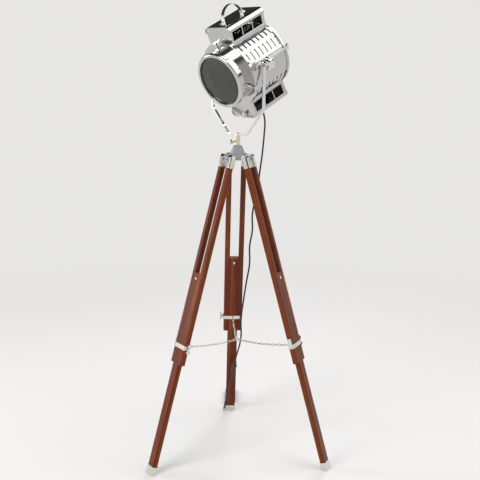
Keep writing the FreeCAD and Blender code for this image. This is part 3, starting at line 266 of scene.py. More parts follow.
def settle(piece, matrix, body, material):
    """Sets a new piece in its place, gives it its finish and ties it to the body that it moves with."""
    piece.data.transform(matrix)
    piece.data.materials.clear()
    piece.data.materials.append(material)
    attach(piece, body)


print("one millimetre is", MM, "units")

# %% [markdown]
# ## The flex
# A round black flex leaves the gland under the lower vent, hangs in slow curves down beside the back leg to
# a rocker switch, and runs on to the floor, where the spare length lies folded behind the foot. A NURBS
# curve with the route's points as its control points gives such a line: it runs smoothly past each point.
# The head turns and the leg folds; each stretch is made a mesh of its own, and the built cord it replaces is hidden.

# %% Flex material
flex_finish, tree, shader = start_finish("black_flex_sheath", Roughness=0.42)
grain = add(tree, "ShaderNodeTexNoise", {"Vector": add(tree, "ShaderNodeTexCoord").outputs["Object"], "Scale": 900.0})
tree.links.new(ramp(tree, grain.outputs["Fac"], [(0.3, (0.010, 0.010, 0.011)), (0.7, (0.022, 0.021, 0.021))]),
               shader.inputs["Base Color"])
tree.links.new(add(tree, "ShaderNodeBump", {"Height": grain.outputs["Fac"], "Strength": 0.15,
                                            "Distance": 0.0004}).outputs["Normal"], shader.inputs["Normal"])
print("made", flex_finish.name)

# %% Flex routes
FLEX_RADIUS = 3.2 * MM
GLAND_TIP = HEAD @ Vector((0, 42 * MM, -194 * MM))
GLAND_WAY = (HEAD.to_3x3() @ Vector((0, 0, -1))).normalized()
SWITCH_TOP, SWITCH_LONG = Vector((12.3, 250, 262)) * MM, 56 * MM
SWITCH_LEAN = Vector((-10, 13.5, -55)).normalized()
SWITCH_END = SWITCH_TOP + SWITCH_LEAN * SWITCH_LONG
# STRAIGHT is how far the flex runs on in line with what it leaves, ON_FLOOR its first point on the floor.
STRAIGHT, ON_FLOOR = 28, 6

upper_route = [GLAND_TIP, GLAND_TIP + GLAND_WAY * STRAIGHT * MM] + metres([(104, 97, 1190), (101.5, 106, 1150)])
high_route = metres([(101.5, 106, 1150), (98.9, 115.36, 1108.4), (93, 123, 1062), (88, 128, 1012)])
low_route = metres([(76, 135, 945), (65, 141, 880), (70.5, 150, 822), (57, 161, 755), (63, 170, 690),
                    (50, 182, 612), (39, 192, 528), (30, 207, 445), (34.5, 217, 387), (29, 229, 335)])
low_route += [SWITCH_TOP - SWITCH_LEAN * 30 * MM, SWITCH_TOP]
split = (high_route[-1] + low_route[0]) / 2
high_route.append(split)
low_route.insert(0, split)
floor_route = [SWITCH_END, SWITCH_END + SWITCH_LEAN * STRAIGHT * MM]
floor_route += metres([(-7, 291, 140), (-15, 308, 98), (-22, 325, 58), (-25.4, 343, 25), (-26.6, 366, 4.6),
                       (-25, 386, 3.3)])
print("switch from", [round(v, 3) for v in SWITCH_TOP], "to", [round(v, 3) for v in SWITCH_END])

# %% The put-away hank
HANK_PLACE, HANK_AHEAD = Vector((3.55, 426, 0)), Vector((0.0604, 0.9982, 0))
HANK_END, HANK_RUN, HANK_LOOPS, HANK_PITCH, HANK_LOW = 18, 118, 3, 7, 3.7
CURL_STEPS = 6

hank_aside = HANK_AHEAD.cross(Vector((0, 0, 1)))
turn_length = 2 * HANK_RUN + 2 * math.pi * HANK_END
hank_slope = HANK_PITCH / turn_length


def hank_spot(across, along, up):
    return (HANK_PLACE + hank_aside * across + HANK_AHEAD * along + Vector((0, 0, up))) * MM


floor_route += [hank_spot(-HANK_END, -24, HANK_LOW - 0.4), hank_spot(-HANK_END, -6, HANK_LOW)]
corner = HANK_END / math.cos(math.pi / CURL_STEPS / 2)
short = HANK_END * math.tan(math.pi / CURL_STEPS / 2)
# Each turn has a far curl and a near one: where it centres, its first angle and how far along the turn it begins.
for loop in range(HANK_LOOPS):
    start = HANK_LOW + HANK_PITCH * loop
    for middle, first, begun in ((HANK_RUN, math.pi, HANK_RUN), (0, 0.0, 2 * HANK_RUN + math.pi * HANK_END)):
        back = -short if middle else short
        floor_route.append(hank_spot(math.cos(first) * HANK_END, middle + back, start + hank_slope * (begun - short)))
        for number in range(CURL_STEPS):
            angle = first - math.pi * (number + 0.5) / CURL_STEPS
            far = begun + math.pi * HANK_END * (number + 0.5) / CURL_STEPS
            floor_route.append(hank_spot(corner * math.cos(angle), middle + corner * math.sin(angle),
                                         start + hank_slope * far))
        floor_route.append(hank_spot(-math.cos(first) * HANK_END, middle + back,
                                     start + hank_slope * (begun + math.pi * HANK_END + short)))
HANK_TOP = HANK_LOW + HANK_PITCH * HANK_LOOPS
floor_route += [hank_spot(*spot) for spot in
                ((-18, 8, HANK_TOP + 0.2), (-14.5, 20, HANK_TOP + 0.2), (-7, 33, HANK_TOP - 4), (-1, 47, 12.2),
                 (0, 56, 10.7), (0, 64, 10.7))]
print("points on the flex:", sum(len(route) for route in (upper_route, high_route, low_route, floor_route)))


# %% Lay the flex
def lay_flex(name, route, node):
    """One stretch as a mesh tube; the built cord parts named in node are hidden."""
    curve = bpy.data.curves.new(name, "CURVE")
    curve.dimensions = "3D"
    line = curve.splines.new("NURBS")
    line.points.add(len(route) - 1)
    for point, place in zip(line.points, route):
        point.co = (*place, 1)
    line.order_u = 3
    line.use_endpoint_u = True
    line.resolution_u = 8
    piece = bpy.data.objects.new(name, curve)
    bpy.context.scene.collection.objects.link(piece)
    bare = bpy.data.meshes.new_from_object(piece)
    curve.bevel_depth = FLEX_RADIUS
    curve.bevel_resolution = 4
    curve.use_fill_caps = True
    pick(piece)
    bpy.ops.object.convert(target="MESH")
    piece = bpy.context.object
    piece.data.materials.clear()
    piece.data.materials.append(flex_finish)
    bpy.ops.object.shade_smooth()
    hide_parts(*node)
    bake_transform(piece)
    return piece


lay_flex("flex_upper", upper_route, ["cord_upper"])
lay_flex("flex_high", high_route, ["cord_lower"])
lay_flex("flex_low", low_route, ["cord_lower"])
lay_flex("flex_floor", floor_route, ["cord_floor", "cord_coil"])

# %% [markdown]
# A put-away length of flex is folded into a hank and held by a tie. The tie is a thin strip wound round the
# three stacked runs on one side: a short tube, stretched into an oval that hugs the runs.

# %% Hank tie
TIE_ALONG, TIE_HALF_WIDE, TIE_THICK = 30, 3.0, 0.5
TIE_ROUND, TIE_LIFT = 3.75, 0.6
tie_middle = hank_spot(-HANK_END, TIE_ALONG, HANK_LOW + HANK_PITCH + TIE_LIFT)

bpy.ops.object.select_all(action="DESELECT")
bpy.ops.mesh.primitive_cylinder_add(vertices=32, radius=1, depth=2 * TIE_HALF_WIDE * MM, end_fill_type="NOTHING")
tie = bpy.context.object
tie.name = "hank_tie"
for vertex in tie.data.vertices:
    angle = math.atan2(vertex.co.y, vertex.co.x)
    side, rise = math.cos(angle), math.sin(angle)
    vertex.co.x = TIE_ROUND * MM * side
    vertex.co.y = (TIE_ROUND * rise + (HANK_PITCH if rise > 0 else -HANK_PITCH) * min(abs(rise) * 3, 1)) * MM
bpy.ops.object.modifier_add(type="SOLIDIFY")
tie.modifiers[-1].thickness = TIE_THICK * MM
tie.modifiers[-1].offset = 1
bpy.ops.object.modifier_apply(modifier=tie.modifiers[-1].name)
bpy.ops.object.modifier_add(type="BEVEL")
tie.modifiers[-1].width = 0.15 * MM
tie.modifiers[-1].segments = 2
bpy.ops.object.modifier_apply(modifier=tie.modifiers[-1].name)
# Swapping Y and Z stands the tie upright but mirrors it, so its faces are flipped back afterwards.
upright = Matrix(((1, 0, 0, 0), (0, 0, 1, 0), (0, 1, 0, 0), (0, 0, 0, 1)))
heading = Matrix.Rotation(math.atan2(HANK_AHEAD.y, HANK_AHEAD.x) - math.pi / 2, 4, "Z")
settle(tie, Matrix.Translation(tie_middle) @ heading @ upright, "stand", flex_finish)
tie.data.flip_normals()
print("tie faces:", len(tie.data.polygons))

# %% [markdown]
# ## Finishes
# The real lamp shows four kinds of surface: oiled reddish wood, mirror-bright metal, paler nickel fittings,
# and black rubber and plastic; the metal's inner faces are coloured black as painted shade. Patterns follow
# Object coordinates. A Mapping node set to Texture turns those into the coordinates of a leg or of the lamp
# head, so grain runs along the wood and the black painted shade knows where the inside of the drum is.


# %% Finish helpers
def object_place(tree, matrix=None):
    """Object coordinates, or those of a part whose place is the given matrix."""
    where = add(tree, "ShaderNodeTexCoord").outputs["Object"]
    if matrix is None:
        return where
    turn = tuple(matrix.to_euler())
    return add(tree, "ShaderNodeMapping", {"Vector": where, "Location": tuple(matrix.translation), "Rotation": turn},
               vector_type="TEXTURE").outputs["Vector"]


def stretched(tree, where, x, y, z):
    return add(tree, "ShaderNodeMapping", {"Vector": where, "Scale": (x, y, z)}).outputs["Vector"]


def noise(tree, where, scale, detail=3.0, roughness=0.55):
    return add(tree, "ShaderNodeTexNoise", {"Vector": where, "Scale": scale, "Detail": detail,
                                            "Roughness": roughness}).outputs["Fac"]


def bump(tree, height, strength, distance, normal=None):
    node = add(tree, "ShaderNodeBump", {"Height": height, "Strength": strength, "Distance": distance})
    if normal is not None:
        tree.links.new(normal, node.inputs["Normal"])
    return node.outputs["Normal"]


def between(tree, value, low, high):
    """The value, from 0 to 1, moved to run from low to high."""
    return add(tree, "ShaderNodeMapRange", {"Value": value, "To Min": low, "To Max": high}).outputs["Result"]


def wear(material_name, *nodes):
    """Gives a finish to the built parts named, in every slot each has."""
    material = bpy.data.materials[material_name]
    for name in nodes:
        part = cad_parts[name]
        if not part.material_slots:
            part.data.materials.append(material)
        for place in part.material_slots:
            place.material = material
    return len(nodes)


LEG_WORDS = list(LEGS)
print("finish helpers ready")

# %% [markdown]
# The legs are of a dark reddish hardwood under an oiled, satin coat. Fine dark pores are stretched along each
# leg, broad bands give the board its figure, and an uneven roughness under the coat breaks up highlights.

# %% Wood
for word in LEG_WORDS:
    wood, tree, shader = start_finish(f"oiled_wood_{word}", Coat_Weight=0.10, Coat_Roughness=0.12,
                                      Specular_IOR_Level=0.14)
    where = object_place(tree, leg_place(word))
    drift = noise(tree, stretched(tree, where, 12, 12, 0.8), 3.0, 4)
    band = add(tree, "ShaderNodeTexWave", {"Vector": stretched(tree, where, 60, 60, 3.2), "Scale": 1.1,
                                           "Distortion": 7.0, "Detail": 3.0, "Detail Scale": 0.7})
    fibre = noise(tree, stretched(tree, where, 900, 900, 22), 1.0, 2)
    pore = noise(tree, stretched(tree, where, 2600, 2600, 60), 1.0, 1)
    figure = ramp(tree, band.outputs["Fac"], [(0.0, (0.110, 0.016, 0.004)), (0.55, (0.230, 0.044, 0.010)),
                                              (1.0, (0.330, 0.082, 0.018))])
    lively = mix(tree, between(tree, drift, 0.0, 0.6), (0.110, 0.017, 0.005), (0.370, 0.098, 0.022))
    pores = ramp(tree, fibre, [(0.34, (0.42, 0.38, 0.36)), (0.52, (1.0, 1.0, 1.0))])
    colour = mix(tree, 0.75, mix(tree, 0.45, figure, lively), pores, blend_type="MULTIPLY")
    tree.links.new(colour, shader.inputs["Base Color"])
    tree.links.new(between(tree, drift, 0.22, 0.42), shader.inputs["Roughness"])
    tree.links.new(bump(tree, pore, 0.25, 0.0003, bump(tree, fibre, 0.2, 0.0004)), shader.inputs["Normal"])
    print(wood.name, "on", wear(wood.name, f"rails_{word}", f"lower_leg_{word}"), "parts")

# %% [markdown]
# The head is polished bright metal. Real polished sheet isn't a perfect mirror: it keeps faint buffing
# marks, slow waves that bend reflections, and a grey bloom where hands have been. Its inner faces are coloured
# matt black as painted shade, which is why the slots and windows look dark. This painted shade is put where the
# distance from the lamp's axis, or from the vent's walls, says that a point lies on an inner face.


# %% Bright metal
def bright_metal(name, colour, low, high, wave=0.12, inside=None, matrix=None):
    """Polished metal; inside takes the node tree and lamp-frame coordinates and gives 1 where the black painted shade
    goes.
    """
    _, tree, shader = start_finish(name, Metallic=1.0)
    where = object_place(tree, matrix)
    bloom = noise(tree, where, 9.0, 4)
    marks = noise(tree, stretched(tree, where, 1, 1, 14), 170.0, 2)
    slow = noise(tree, where, 26.0, 1)
    tint = mix(tree, between(tree, bloom, 0.0, 1.0), tuple(v * 0.90 for v in colour), colour)
    rough = between(tree, calculate(tree, "MULTIPLY", bloom, between(tree, marks, 0.7, 1.3)), low, high)
    surface = bump(tree, marks, 0.05, 0.0002, bump(tree, slow, wave, 0.0012))
    if inside is not None:
        # paint here is the matt black painted shade on the inner faces.
        paint = inside(tree, where)
        tint = mix(tree, paint, tint, (0.012, 0.012, 0.012))
        rough = calculate(tree, "MAXIMUM", rough, calculate(tree, "MULTIPLY", paint, 0.75))
        tree.links.new(calculate(tree, "SUBTRACT", 1.0, paint), shader.inputs["Metallic"])
    tree.links.new(tint, shader.inputs["Base Color"])
    tree.links.new(rough, shader.inputs["Roughness"])
    tree.links.new(surface, shader.inputs["Normal"])


def within_radius(limit):
    """Painted shade wherever a point is nearer to the lamp's axis than the limit."""
    def inside(tree, where):
        parts = add(tree, "ShaderNodeSeparateXYZ", {"Vector": where})
        squares = [calculate(tree, "MULTIPLY", parts.outputs[axis], parts.outputs[axis]) for axis in "XZ"]
        return calculate(tree, "LESS_THAN", calculate(tree, "SQRT", calculate(tree, "ADD", *squares)), limit)
    return inside


# Limits inside which the inner faces are coloured black as painted shade.
DRUM_SHADE_LIMIT, BARREL_SHADE_LIMIT = 0.1153, 0.0923
VENT_HALF, VENT_TOP, VENT_LEAN, VENT_SHADE_MARGIN = 0.062, 0.168, 0.14, 0.0007
VENT_FRONT, VENT_REAR = -0.0433, 0.1263


def within_vent(tree, where):
    """Painted shade between the vent's four walls, of which the two at the sides lean inwards."""
    parts = add(tree, "ShaderNodeSeparateXYZ", {"Vector": where})
    depth = calculate(tree, "SUBTRACT", VENT_TOP, calculate(tree, "ABSOLUTE", parts.outputs["Z"]))
    reach = calculate(tree, "ADD", calculate(tree, "ABSOLUTE", parts.outputs["X"]),
                      calculate(tree, "MULTIPLY", depth, VENT_LEAN))
    side = calculate(tree, "LESS_THAN", reach, VENT_HALF - VENT_SHADE_MARGIN)
    front = calculate(tree, "GREATER_THAN", parts.outputs["Y"], VENT_FRONT)
    rear = calculate(tree, "LESS_THAN", parts.outputs["Y"], VENT_REAR)
    return calculate(tree, "MULTIPLY", side, calculate(tree, "MULTIPLY", front, rear))


BRIGHT = (0.61, 0.60, 0.58)
print("bright metal ready")

# %% Metal on the lamp head
bright_metal("polished_shell", BRIGHT, 0.05, 0.26, inside=within_radius(DRUM_SHADE_LIMIT), matrix=HEAD)
bright_metal("polished_barrel", BRIGHT, 0.04, 0.20, inside=within_radius(BARREL_SHADE_LIMIT), matrix=HEAD)
bright_metal("polished_vent", BRIGHT, 0.07, 0.30, inside=within_vent, matrix=HEAD)
bright_metal("polished_sheet", BRIGHT, 0.05, 0.24, matrix=HEAD)
bright_metal("polished_steel", (0.55, 0.55, 0.55), 0.06, 0.24)
HEAD_WEAR = {
    "polished_shell": ["drum_shell"],
    "polished_barrel": ["barrel"],
    "polished_vent": ["top_vent", "bottom_vent"],
    "polished_sheet": ["front_flange", "lens_bezel", "rear_cap", "top_vent_roof", "bottom_vent_roof", "reflector"],
    "polished_steel": ["yoke", "pivot_studs", "side_rails", "handle", "tilt_knob_left", "tilt_knob_right",
                       "yoke_bolt"]}
for finish, parts in HEAD_WEAR.items():
    print(finish, "on", wear(finish, *parts), "parts")

# %% [markdown]
# The tripod's fittings are nickel plated: a little warmer and softer than the head. The socket is the warmest,
# close to pale gold. The hub is a casting, bright below its shoulder, where the legs hinge, and painted a satin
# blue grey above it, with the fine orange peel of sprayed paint.

# %% Fittings
HUB_SHOULDER = 22.5
bright_metal("nickel_plate", (0.76, 0.745, 0.70), 0.06, 0.26)
bright_metal("pale_gold_plate", (0.80, 0.71, 0.50), 0.10, 0.30)
print(wear("nickel_plate", "chain_ring", "spigot", "thumb_screw",
           *[f"{kind}_{word}" for word in LEG_WORDS
             for kind in ("ferrules", "clamp", "foot", "chain", "wing_screw", "guide_screw", "hinge_bolt")]),
      wear("pale_gold_plate", "socket"))

_, tree, shader = start_finish("hub_casting")
where = object_place(tree)
hub_floor = min(corner[2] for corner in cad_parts["hub"].bound_box)
height = add(tree, "ShaderNodeSeparateXYZ", {"Vector": where}).outputs["Z"]
painted = calculate(tree, "GREATER_THAN", height, hub_floor + HUB_SHOULDER * MM)
peel, patch = noise(tree, where, 420.0, 2), noise(tree, where, 30.0, 4)
paint = mix(tree, patch, (0.20, 0.225, 0.255), (0.33, 0.36, 0.40))
tree.links.new(mix(tree, painted, BRIGHT, paint), shader.inputs["Base Color"])
tree.links.new(between(tree, painted, 1.0, 0.55), shader.inputs["Metallic"])
tree.links.new(calculate(tree, "ADD", between(tree, patch, 0.12, 0.30), between(tree, painted, 0.0, 0.15)),
               shader.inputs["Roughness"])
tree.links.new(bump(tree, peel, 0.18, 0.0003), shader.inputs["Normal"])
print(wear("hub_casting", "hub"))

# %% [markdown]
# The three chains hang between the ring in the middle and the clamps on the legs. When a leg folds, its end of
# the chain has to go with it. Here each chain is only a merged copy of the built one, which is hidden.

# %% Chains copied from the built ones
for word in LEG_WORDS:
    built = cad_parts[f"chain_{word}"]
    links = bpy.data.objects.new(f"chain_links_{word}", built.data.copy())
    bpy.context.scene.collection.objects.link(links)
    pick(links)
    bpy.ops.object.mode_set(mode="EDIT")
    bpy.ops.mesh.select_all(action="SELECT")
    bpy.ops.mesh.remove_doubles(threshold=0.000001)
    bpy.ops.object.mode_set(mode="OBJECT")
    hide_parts(built.name)
    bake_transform(links)
    print(links.name, len(links.data.polygons), "faces")

# %% [markdown]
# ## Glass, ceramic, rubber and plastic
# Seen from outside the lens is almost black, since all behind it is dark: its colour is painted nearly black
# as painted shade, with lighter clouds as a painted grey sheen. Dust varies its roughness and pressed ripples
# give it a bump. Rubber and moulded plastic are never quite smooth, so each has a fine bump.

# %% Lens and bulb
_, tree, shader = start_finish("smoked_lens_glass", IOR=1.5, Transmission_Weight=0.25)
where = object_place(tree, HEAD)
painted_sheen_cloud = noise(tree, stretched(tree, where, 1, 1, 0.6), 11.0, 4)
dust = noise(tree, where, 260.0, 2)
ripple = add(tree, "ShaderNodeTexWave", {"Vector": where, "Scale": 55.0, "Distortion": 0.6}, wave_type="RINGS",
             rings_direction="Y")
# The lens colour is painted shade, nearly black, with lighter clouds as a painted sheen.
tree.links.new(mix(tree, painted_sheen_cloud, (0.004, 0.006, 0.005), (0.085, 0.090, 0.082)), shader.inputs["Base Color"])
tree.links.new(between(tree, calculate(tree, "MULTIPLY", painted_sheen_cloud, between(tree, dust, 0.6, 1.4)), 0.16, 0.50),
               shader.inputs["Roughness"])
tree.links.new(bump(tree, ripple.outputs["Fac"], 0.05, 0.0004), shader.inputs["Normal"])

_, tree, shader = start_finish("pearl_bulb_glass", IOR=1.5, Transmission_Weight=0.6, Roughness=0.3)
where = object_place(tree)
haze = noise(tree, where, 45.0, 3)
tree.links.new(mix(tree, haze, (0.72, 0.72, 0.70), (0.88, 0.88, 0.86)), shader.inputs["Base Color"])
tree.links.new(between(tree, haze, 0.22, 0.40), shader.inputs["Roughness"])
print(wear("smoked_lens_glass", "lens"), wear("pearl_bulb_glass", "bulb"))

# %% Ceramic and plastic
_, tree, shader = start_finish("glazed_holder", Coat_Weight=0.6, Coat_Roughness=0.08)
where = object_place(tree)
speck = noise(tree, where, 240.0, 3)
tree.links.new(ramp(tree, speck, [(0.3, (0.62, 0.60, 0.55)), (0.55, (0.84, 0.83, 0.79))]),
               shader.inputs["Base Color"])
tree.links.new(between(tree, speck, 0.18, 0.34), shader.inputs["Roughness"])

_, tree, shader = start_finish("moulded_black_plastic", Coat_Weight=0.1)
where = object_place(tree)
skin, smear = noise(tree, where, 900.0, 2), noise(tree, where, 40.0, 3)
tree.links.new(mix(tree, smear, (0.010, 0.010, 0.011), (0.026, 0.026, 0.027)), shader.inputs["Base Color"])
tree.links.new(between(tree, smear, 0.28, 0.48), shader.inputs["Roughness"])
tree.links.new(bump(tree, skin, 0.25, 0.0002), shader.inputs["Normal"])
print(wear("glazed_holder", "lamp_holder"), wear("moulded_black_plastic", "switch_body", "switch_rocker", "plug"),
      wear("black_flex_sheath", "gland"))

# %% [markdown]
# ## Small fixings
# Rivets and screws hold the sheet metal together. Each kind is modelled once, as a disc whose top edge is
# bevelled into a dome, and then copied with its own mesh to every place it is needed. A place is given by the
# point on the metal and the direction that faces out of it.


# %% A rivet and a screw
def round_head(name, radius, height, vertices=20):
    """A domed head standing on the origin, with the Z axis up through its middle."""
    bpy.ops.object.select_all(action="DESELECT")
    bpy.ops.mesh.primitive_cylinder_add(vertices=vertices, radius=radius, depth=height, location=(0, 0, height / 2))
    piece = bpy.context.object
    piece.name = name
    bpy.ops.object.transform_apply(location=True, rotation=True, scale=True)
    bpy.ops.object.mode_set(mode="EDIT")
    bpy.ops.mesh.select_mode(type="FACE")
    bpy.ops.mesh.select_all(action="DESELECT")
    bpy.ops.object.mode_set(mode="OBJECT")
    for face in piece.data.polygons:
        face.select = face.normal.z > 0.9
    bpy.ops.object.mode_set(mode="EDIT")
    bpy.ops.mesh.bevel(offset=min(height, radius) * 0.85, segments=4, profile=0.6)
    bpy.ops.object.mode_set(mode="OBJECT")
    bpy.ops.object.shade_smooth_by_angle(angle=math.radians(50))
    return piece


def slotted_head(name, radius, height, wide):
    """A round head with a straight slot cut across its top."""
    piece = round_head(name, radius, height, 28)
    bpy.ops.object.select_all(action="DESELECT")
    bpy.ops.mesh.primitive_cube_add(size=1, location=(0, 0, height), scale=(3 * radius, wide, height * 0.9))
    cutter = bpy.context.object
    bpy.context.view_layer.objects.active = piece
    bpy.ops.object.modifier_add(type="BOOLEAN")
    piece.modifiers[-1].object = cutter
    piece.modifiers[-1].operation = "DIFFERENCE"
    piece.modifiers[-1].solver = "EXACT"
    bpy.ops.object.modifier_apply(modifier=piece.modifiers[-1].name)
    bpy.data.objects.remove(cutter)
    return piece


def facing(place, way):
    """The matrix that stands a piece on a place, with its Z axis along the given way."""
    return Matrix.Translation(place) @ Vector((0, 0, 1)).rotation_difference(Vector(way)).to_matrix().to_4x4()


def place_copies(pattern, name, body, finish, spots):
    """Copies of a pattern, each a piece of its own, at (place, outward way) in metres."""
    for number, (place, way) in enumerate(spots, start=1):
        copy = pattern.copy()
        copy.data = pattern.data.copy()
        copy.name = f"{name}_{number}"
        bpy.context.scene.collection.objects.link(copy)
        settle(copy, facing(place, way), body, bpy.data.materials[finish])
    return len(spots)


def on_head(x, y, z, way):
    """A spot in the lamp head's own millimetres."""
    return HEAD @ (Vector((x, y, z)) * MM), HEAD.to_3x3() @ Vector(way)


rivet = round_head("rivet_pattern", 2.4 * MM, 1.3 * MM)
screw = slotted_head("screw_pattern", 3.6 * MM, 2.2 * MM, 0.9 * MM)
print("rivet faces:", len(rivet.data.polygons), "screw faces:", len(screw.data.polygons))

# %% Rivets and screws on the lamp head
UP, FORE, BACK = (0, 0, 1), (0, -1, 0), (0, 1, 0)
PLATE_FACES, PLATE_HALF, PLATE_ROWS = ((-44, FORE), (127, BACK)), 46, (128, 154)
POST_HIGH, POST_PLACES, SKIRT_THICK = 150.5, (-40, 13.5, 64.5, 121), 1.5
HANDLE_MIDDLE, HANDLE_HALF, ROOF_HIGH = 38, 52.5, 170.5

plates = [on_head(side * PLATE_HALF, face, up * high, way) for face, way in PLATE_FACES
          for side in (-1, 1) for up in (-1, 1) for high in PLATE_ROWS]
skirt = VENT_HALF / MM + SKIRT_THICK - VENT_LEAN * (VENT_TOP / MM - POST_HIGH)
posts = [on_head(side * skirt, along, up * POST_HIGH, (side, 0, -up * VENT_LEAN))
         for side in (-1, 1) for up in (-1, 1) for along in POST_PLACES]
handle_feet = [on_head(0, HANDLE_MIDDLE + side * HANDLE_HALF, ROOF_HIGH, UP) for side in (-1, 1)]
print(place_copies(rivet, "plate_rivet", "head", "nickel_plate", plates),
      place_copies(rivet, "roof_rivet", "head", "nickel_plate", posts),
      place_copies(screw, "handle_screw", "head", "nickel_plate", handle_feet))

# %% Rivets on the cap and screws on the side rails
RIM_RADIUS, CAP_ALONG = 119.5, 124
RAIL_OUT, RAIL_UP, RAIL_ENDS = 122, 20, (-32, 129)

cap_rivets = []
for number in range(6):
    around = math.radians(30 + 60 * number)
    out = Vector((math.sin(around), 0, math.cos(around)))
    cap_rivets.append(on_head(*(out * RIM_RADIUS + Vector((0, CAP_ALONG, 0))), out))
rail_screws = [on_head(side * RAIL_OUT, along, RAIL_UP, (side, 0, 0)) for side in (-1, 1) for along in RAIL_ENDS]
print(place_copies(rivet, "cap_rivet", "head", "nickel_plate", cap_rivets),
      place_copies(screw, "rail_screw", "head", "nickel_plate", rail_screws))

# %% [markdown]
# The strap's lower arms each carry a rivet near the bend. Every ferrule is pinned to its rail by a screw on
# either face, and every clamp to both rails by a screw on its outer face.

# %% Rivets on the strap and the tripod
YOKE = Matrix.Translation((0, 0, HINGE_UP + BASE_RISE)) @ Matrix.Rotation(PAN, 4, "Z")
ARM_IN, ARM_OUT, ARM_RISE, STRAP_HALF = 45, 127, 90, 1.5
ARM_SLOPE, RIVET_SHARE = math.atan2(ARM_RISE, ARM_OUT - ARM_IN), 0.22
PIN_ASIDE, FERRULE_PIN, FERRULE_FACE, CLAMP_PIN, CLAMP_FACE = 26.5, -28, 11.2, -690, 12.2

arm_rivets = []
for side in (-1, 1):
    way = Vector((side * math.sin(ARM_SLOPE), 0, -math.cos(ARM_SLOPE)))
    spot = Vector((side * (ARM_IN + RIVET_SHARE * (ARM_OUT - ARM_IN)), 0, RIVET_SHARE * ARM_RISE)) + way * STRAP_HALF
    arm_rivets.append((YOKE @ (spot * MM), YOKE.to_3x3() @ way))
print(place_copies(rivet, "arm_rivet", "yoke_body", "nickel_plate", arm_rivets))

for word in LEG_WORDS:
    place = leg_place(word)
    pins = [(place @ (Vector((front * FERRULE_FACE, side * PIN_ASIDE, FERRULE_PIN)) * MM),
             place.to_3x3() @ Vector((front, 0, 0))) for side in (-1, 1) for front in (-1, 1)]
    pins += [(place @ (Vector((CLAMP_FACE, side * PIN_ASIDE, CLAMP_PIN)) * MM),
              place.to_3x3() @ Vector((1, 0, 0))) for side in (-1, 1)]
    place_copies(screw, f"ferrule_screw_{word}", f"leg_{word}", "nickel_plate", pins)
    print(word, "leg screws:", len(pins))

# %% [markdown]
# A round knob on the lower vent's front plate holds the plate on, and a small pin stands on the flange's rim.
# Each is a profile spun round an axis. A small plane is merged to one vertex, this is extruded from point to
# point, and the spin tool sweeps the line right round. Its doubled seam is then merged and its faces are turned
# outwards.


# %% Turned knobs
def first_vertex(name, x, y, z):
    """Starts a piece as one selected vertex in edit mode, at a point in millimetres."""
    bpy.ops.object.select_all(action="DESELECT")
    bpy.ops.mesh.primitive_plane_add(size=MM, calc_uvs=False)
    piece = bpy.context.object
    piece.name = name
    piece.data.name = name
    bpy.ops.object.mode_set(mode="EDIT")
    bpy.ops.mesh.select_mode(type="VERT")
    bpy.ops.mesh.select_all(action="SELECT")
    bpy.ops.mesh.merge(type="CENTER")
    bpy.ops.transform.translate(value=(x * MM, y * MM, z * MM))
    return piece


def renumber():
    """Leaves edit mode and enters it again, so that the vertices are numbered in the order of the line."""
    bpy.ops.object.mode_set(mode="OBJECT")
    bpy.ops.object.mode_set(mode="EDIT")


def turned_knob(name, profile, place, way, body, finish, steps=32):
    """A profile of (radius, height) points in millimetres, spun about Z, then set at a place facing a way."""
    piece = first_vertex(name, profile[0][0], 0, profile[0][1])
    for (r0, z0), (r1, z1) in zip(profile, profile[1:]):
        bpy.ops.mesh.extrude_vertices_move(TRANSFORM_OT_translate={"value": ((r1 - r0) * MM, 0, (z1 - z0) * MM)})
    renumber()
    bpy.ops.mesh.select_all(action="SELECT")
    bpy.ops.mesh.spin(steps=steps, angle=2 * math.pi, center=(0, 0, 0), axis=(0, 0, 1))
    bpy.ops.mesh.select_all(action="SELECT")
    bpy.ops.mesh.remove_doubles(threshold=0.00001)
    bpy.ops.mesh.normals_make_consistent(inside=False)
    bpy.ops.object.mode_set(mode="OBJECT")
    bpy.ops.object.shade_smooth_by_angle(angle=math.radians(35))
    settle(piece, facing(place, way), body, bpy.data.materials[finish])


plate_knob = [(0, -1), (4, -1), (4, 3), (7, 4), (8.2, 6), (8.2, 10), (7, 12.5), (4, 13.8), (0, 14.2)]
flange_pin = [(0, -2), (2.6, -2), (2.6, 2.5), (5.2, 3.4), (5.6, 5), (5.6, 7.4), (4.6, 8.8), (0, 9.2)]
KNOB_PLACE, PIN_AROUND, PIN_ALONG = (9, -44, -151), math.radians(68), -51

knob_place, knob_way = on_head(*KNOB_PLACE, FORE)
turned_knob("vent_plate_knob", plate_knob, knob_place, knob_way, "head", "polished_steel")
side_way = Vector((math.sin(PIN_AROUND), 0, math.cos(PIN_AROUND)))
pin_place, pin_way = on_head(*(side_way * RIM_RADIUS + Vector((0, PIN_ALONG, 0))), side_way)
turned_knob("flange_pin", flange_pin, pin_place, pin_way, "head", "nickel_plate")
print("knobs made")

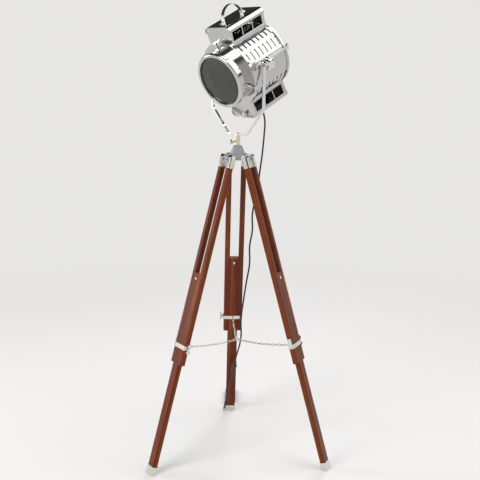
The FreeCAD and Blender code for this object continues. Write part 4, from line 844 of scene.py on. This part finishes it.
# %% [markdown]
# Three latches clip the barrel to the flange, each a bent strip with a hooked end. One edge is extruded from
# point to point, and a Solidify and a Bevel modifier give the strip its body.


# %% Latches
def bent_strip(name, line, wide, thick, matrix, body, finish):
    """A strip that follows (along, up) points in millimetres, wide across; matrix sets it on the lamp."""
    piece = first_vertex(name, -wide / 2, *line[0])
    bpy.ops.mesh.extrude_vertices_move(TRANSFORM_OT_translate={"value": (wide * MM, 0, 0)})
    renumber()
    bpy.ops.mesh.select_mode(type="EDGE")
    bpy.ops.mesh.select_all(action="SELECT")
    for (y0, z0), (y1, z1) in zip(line, line[1:]):
        bpy.ops.mesh.extrude_edges_move(TRANSFORM_OT_translate={"value": (0, (y1 - y0) * MM, (z1 - z0) * MM)})
    bpy.ops.mesh.select_all(action="SELECT")
    bpy.ops.mesh.normals_make_consistent(inside=False)
    bpy.ops.object.mode_set(mode="OBJECT")
    for kind, settings in (("SOLIDIFY", {"thickness": thick * MM, "offset": 0}),
                           ("BEVEL", {"width": 0.3 * MM, "segments": 2})):
        bpy.ops.object.modifier_add(type=kind)
        for key, setting in settings.items():
            setattr(piece.modifiers[-1], key, setting)
        bpy.ops.object.modifier_apply(modifier=piece.modifiers[-1].name)
    settle(piece, matrix, body, bpy.data.materials[finish])


latch_line = [(-70, 93.4), (-62, 94.2), (-60.2, 98), (-60, 117), (-58.5, 120.2), (-55, 120.8), (-49, 120.6)]
LATCH_TURNS, LATCH_WIDE, LATCH_THICK, LATCH_RIVET = (-8, 112, 232), 9, 1.3, (0, -66, 94.3)
for number, degrees in enumerate(LATCH_TURNS, start=1):
    around = HEAD @ Matrix.Rotation(math.radians(degrees), 4, "Y")
    bent_strip(f"barrel_latch_{number}", latch_line, LATCH_WIDE, LATCH_THICK, around, "head",
               "polished_steel")
    place_copies(rivet, f"latch_rivet_{number}", "head", "nickel_plate",
                 [(around @ (Vector(LATCH_RIVET) * MM), around.to_3x3() @ Vector(UP))])
print("latches:", len(LATCH_TURNS))
bpy.data.objects.remove(rivet)
bpy.data.objects.remove(screw)
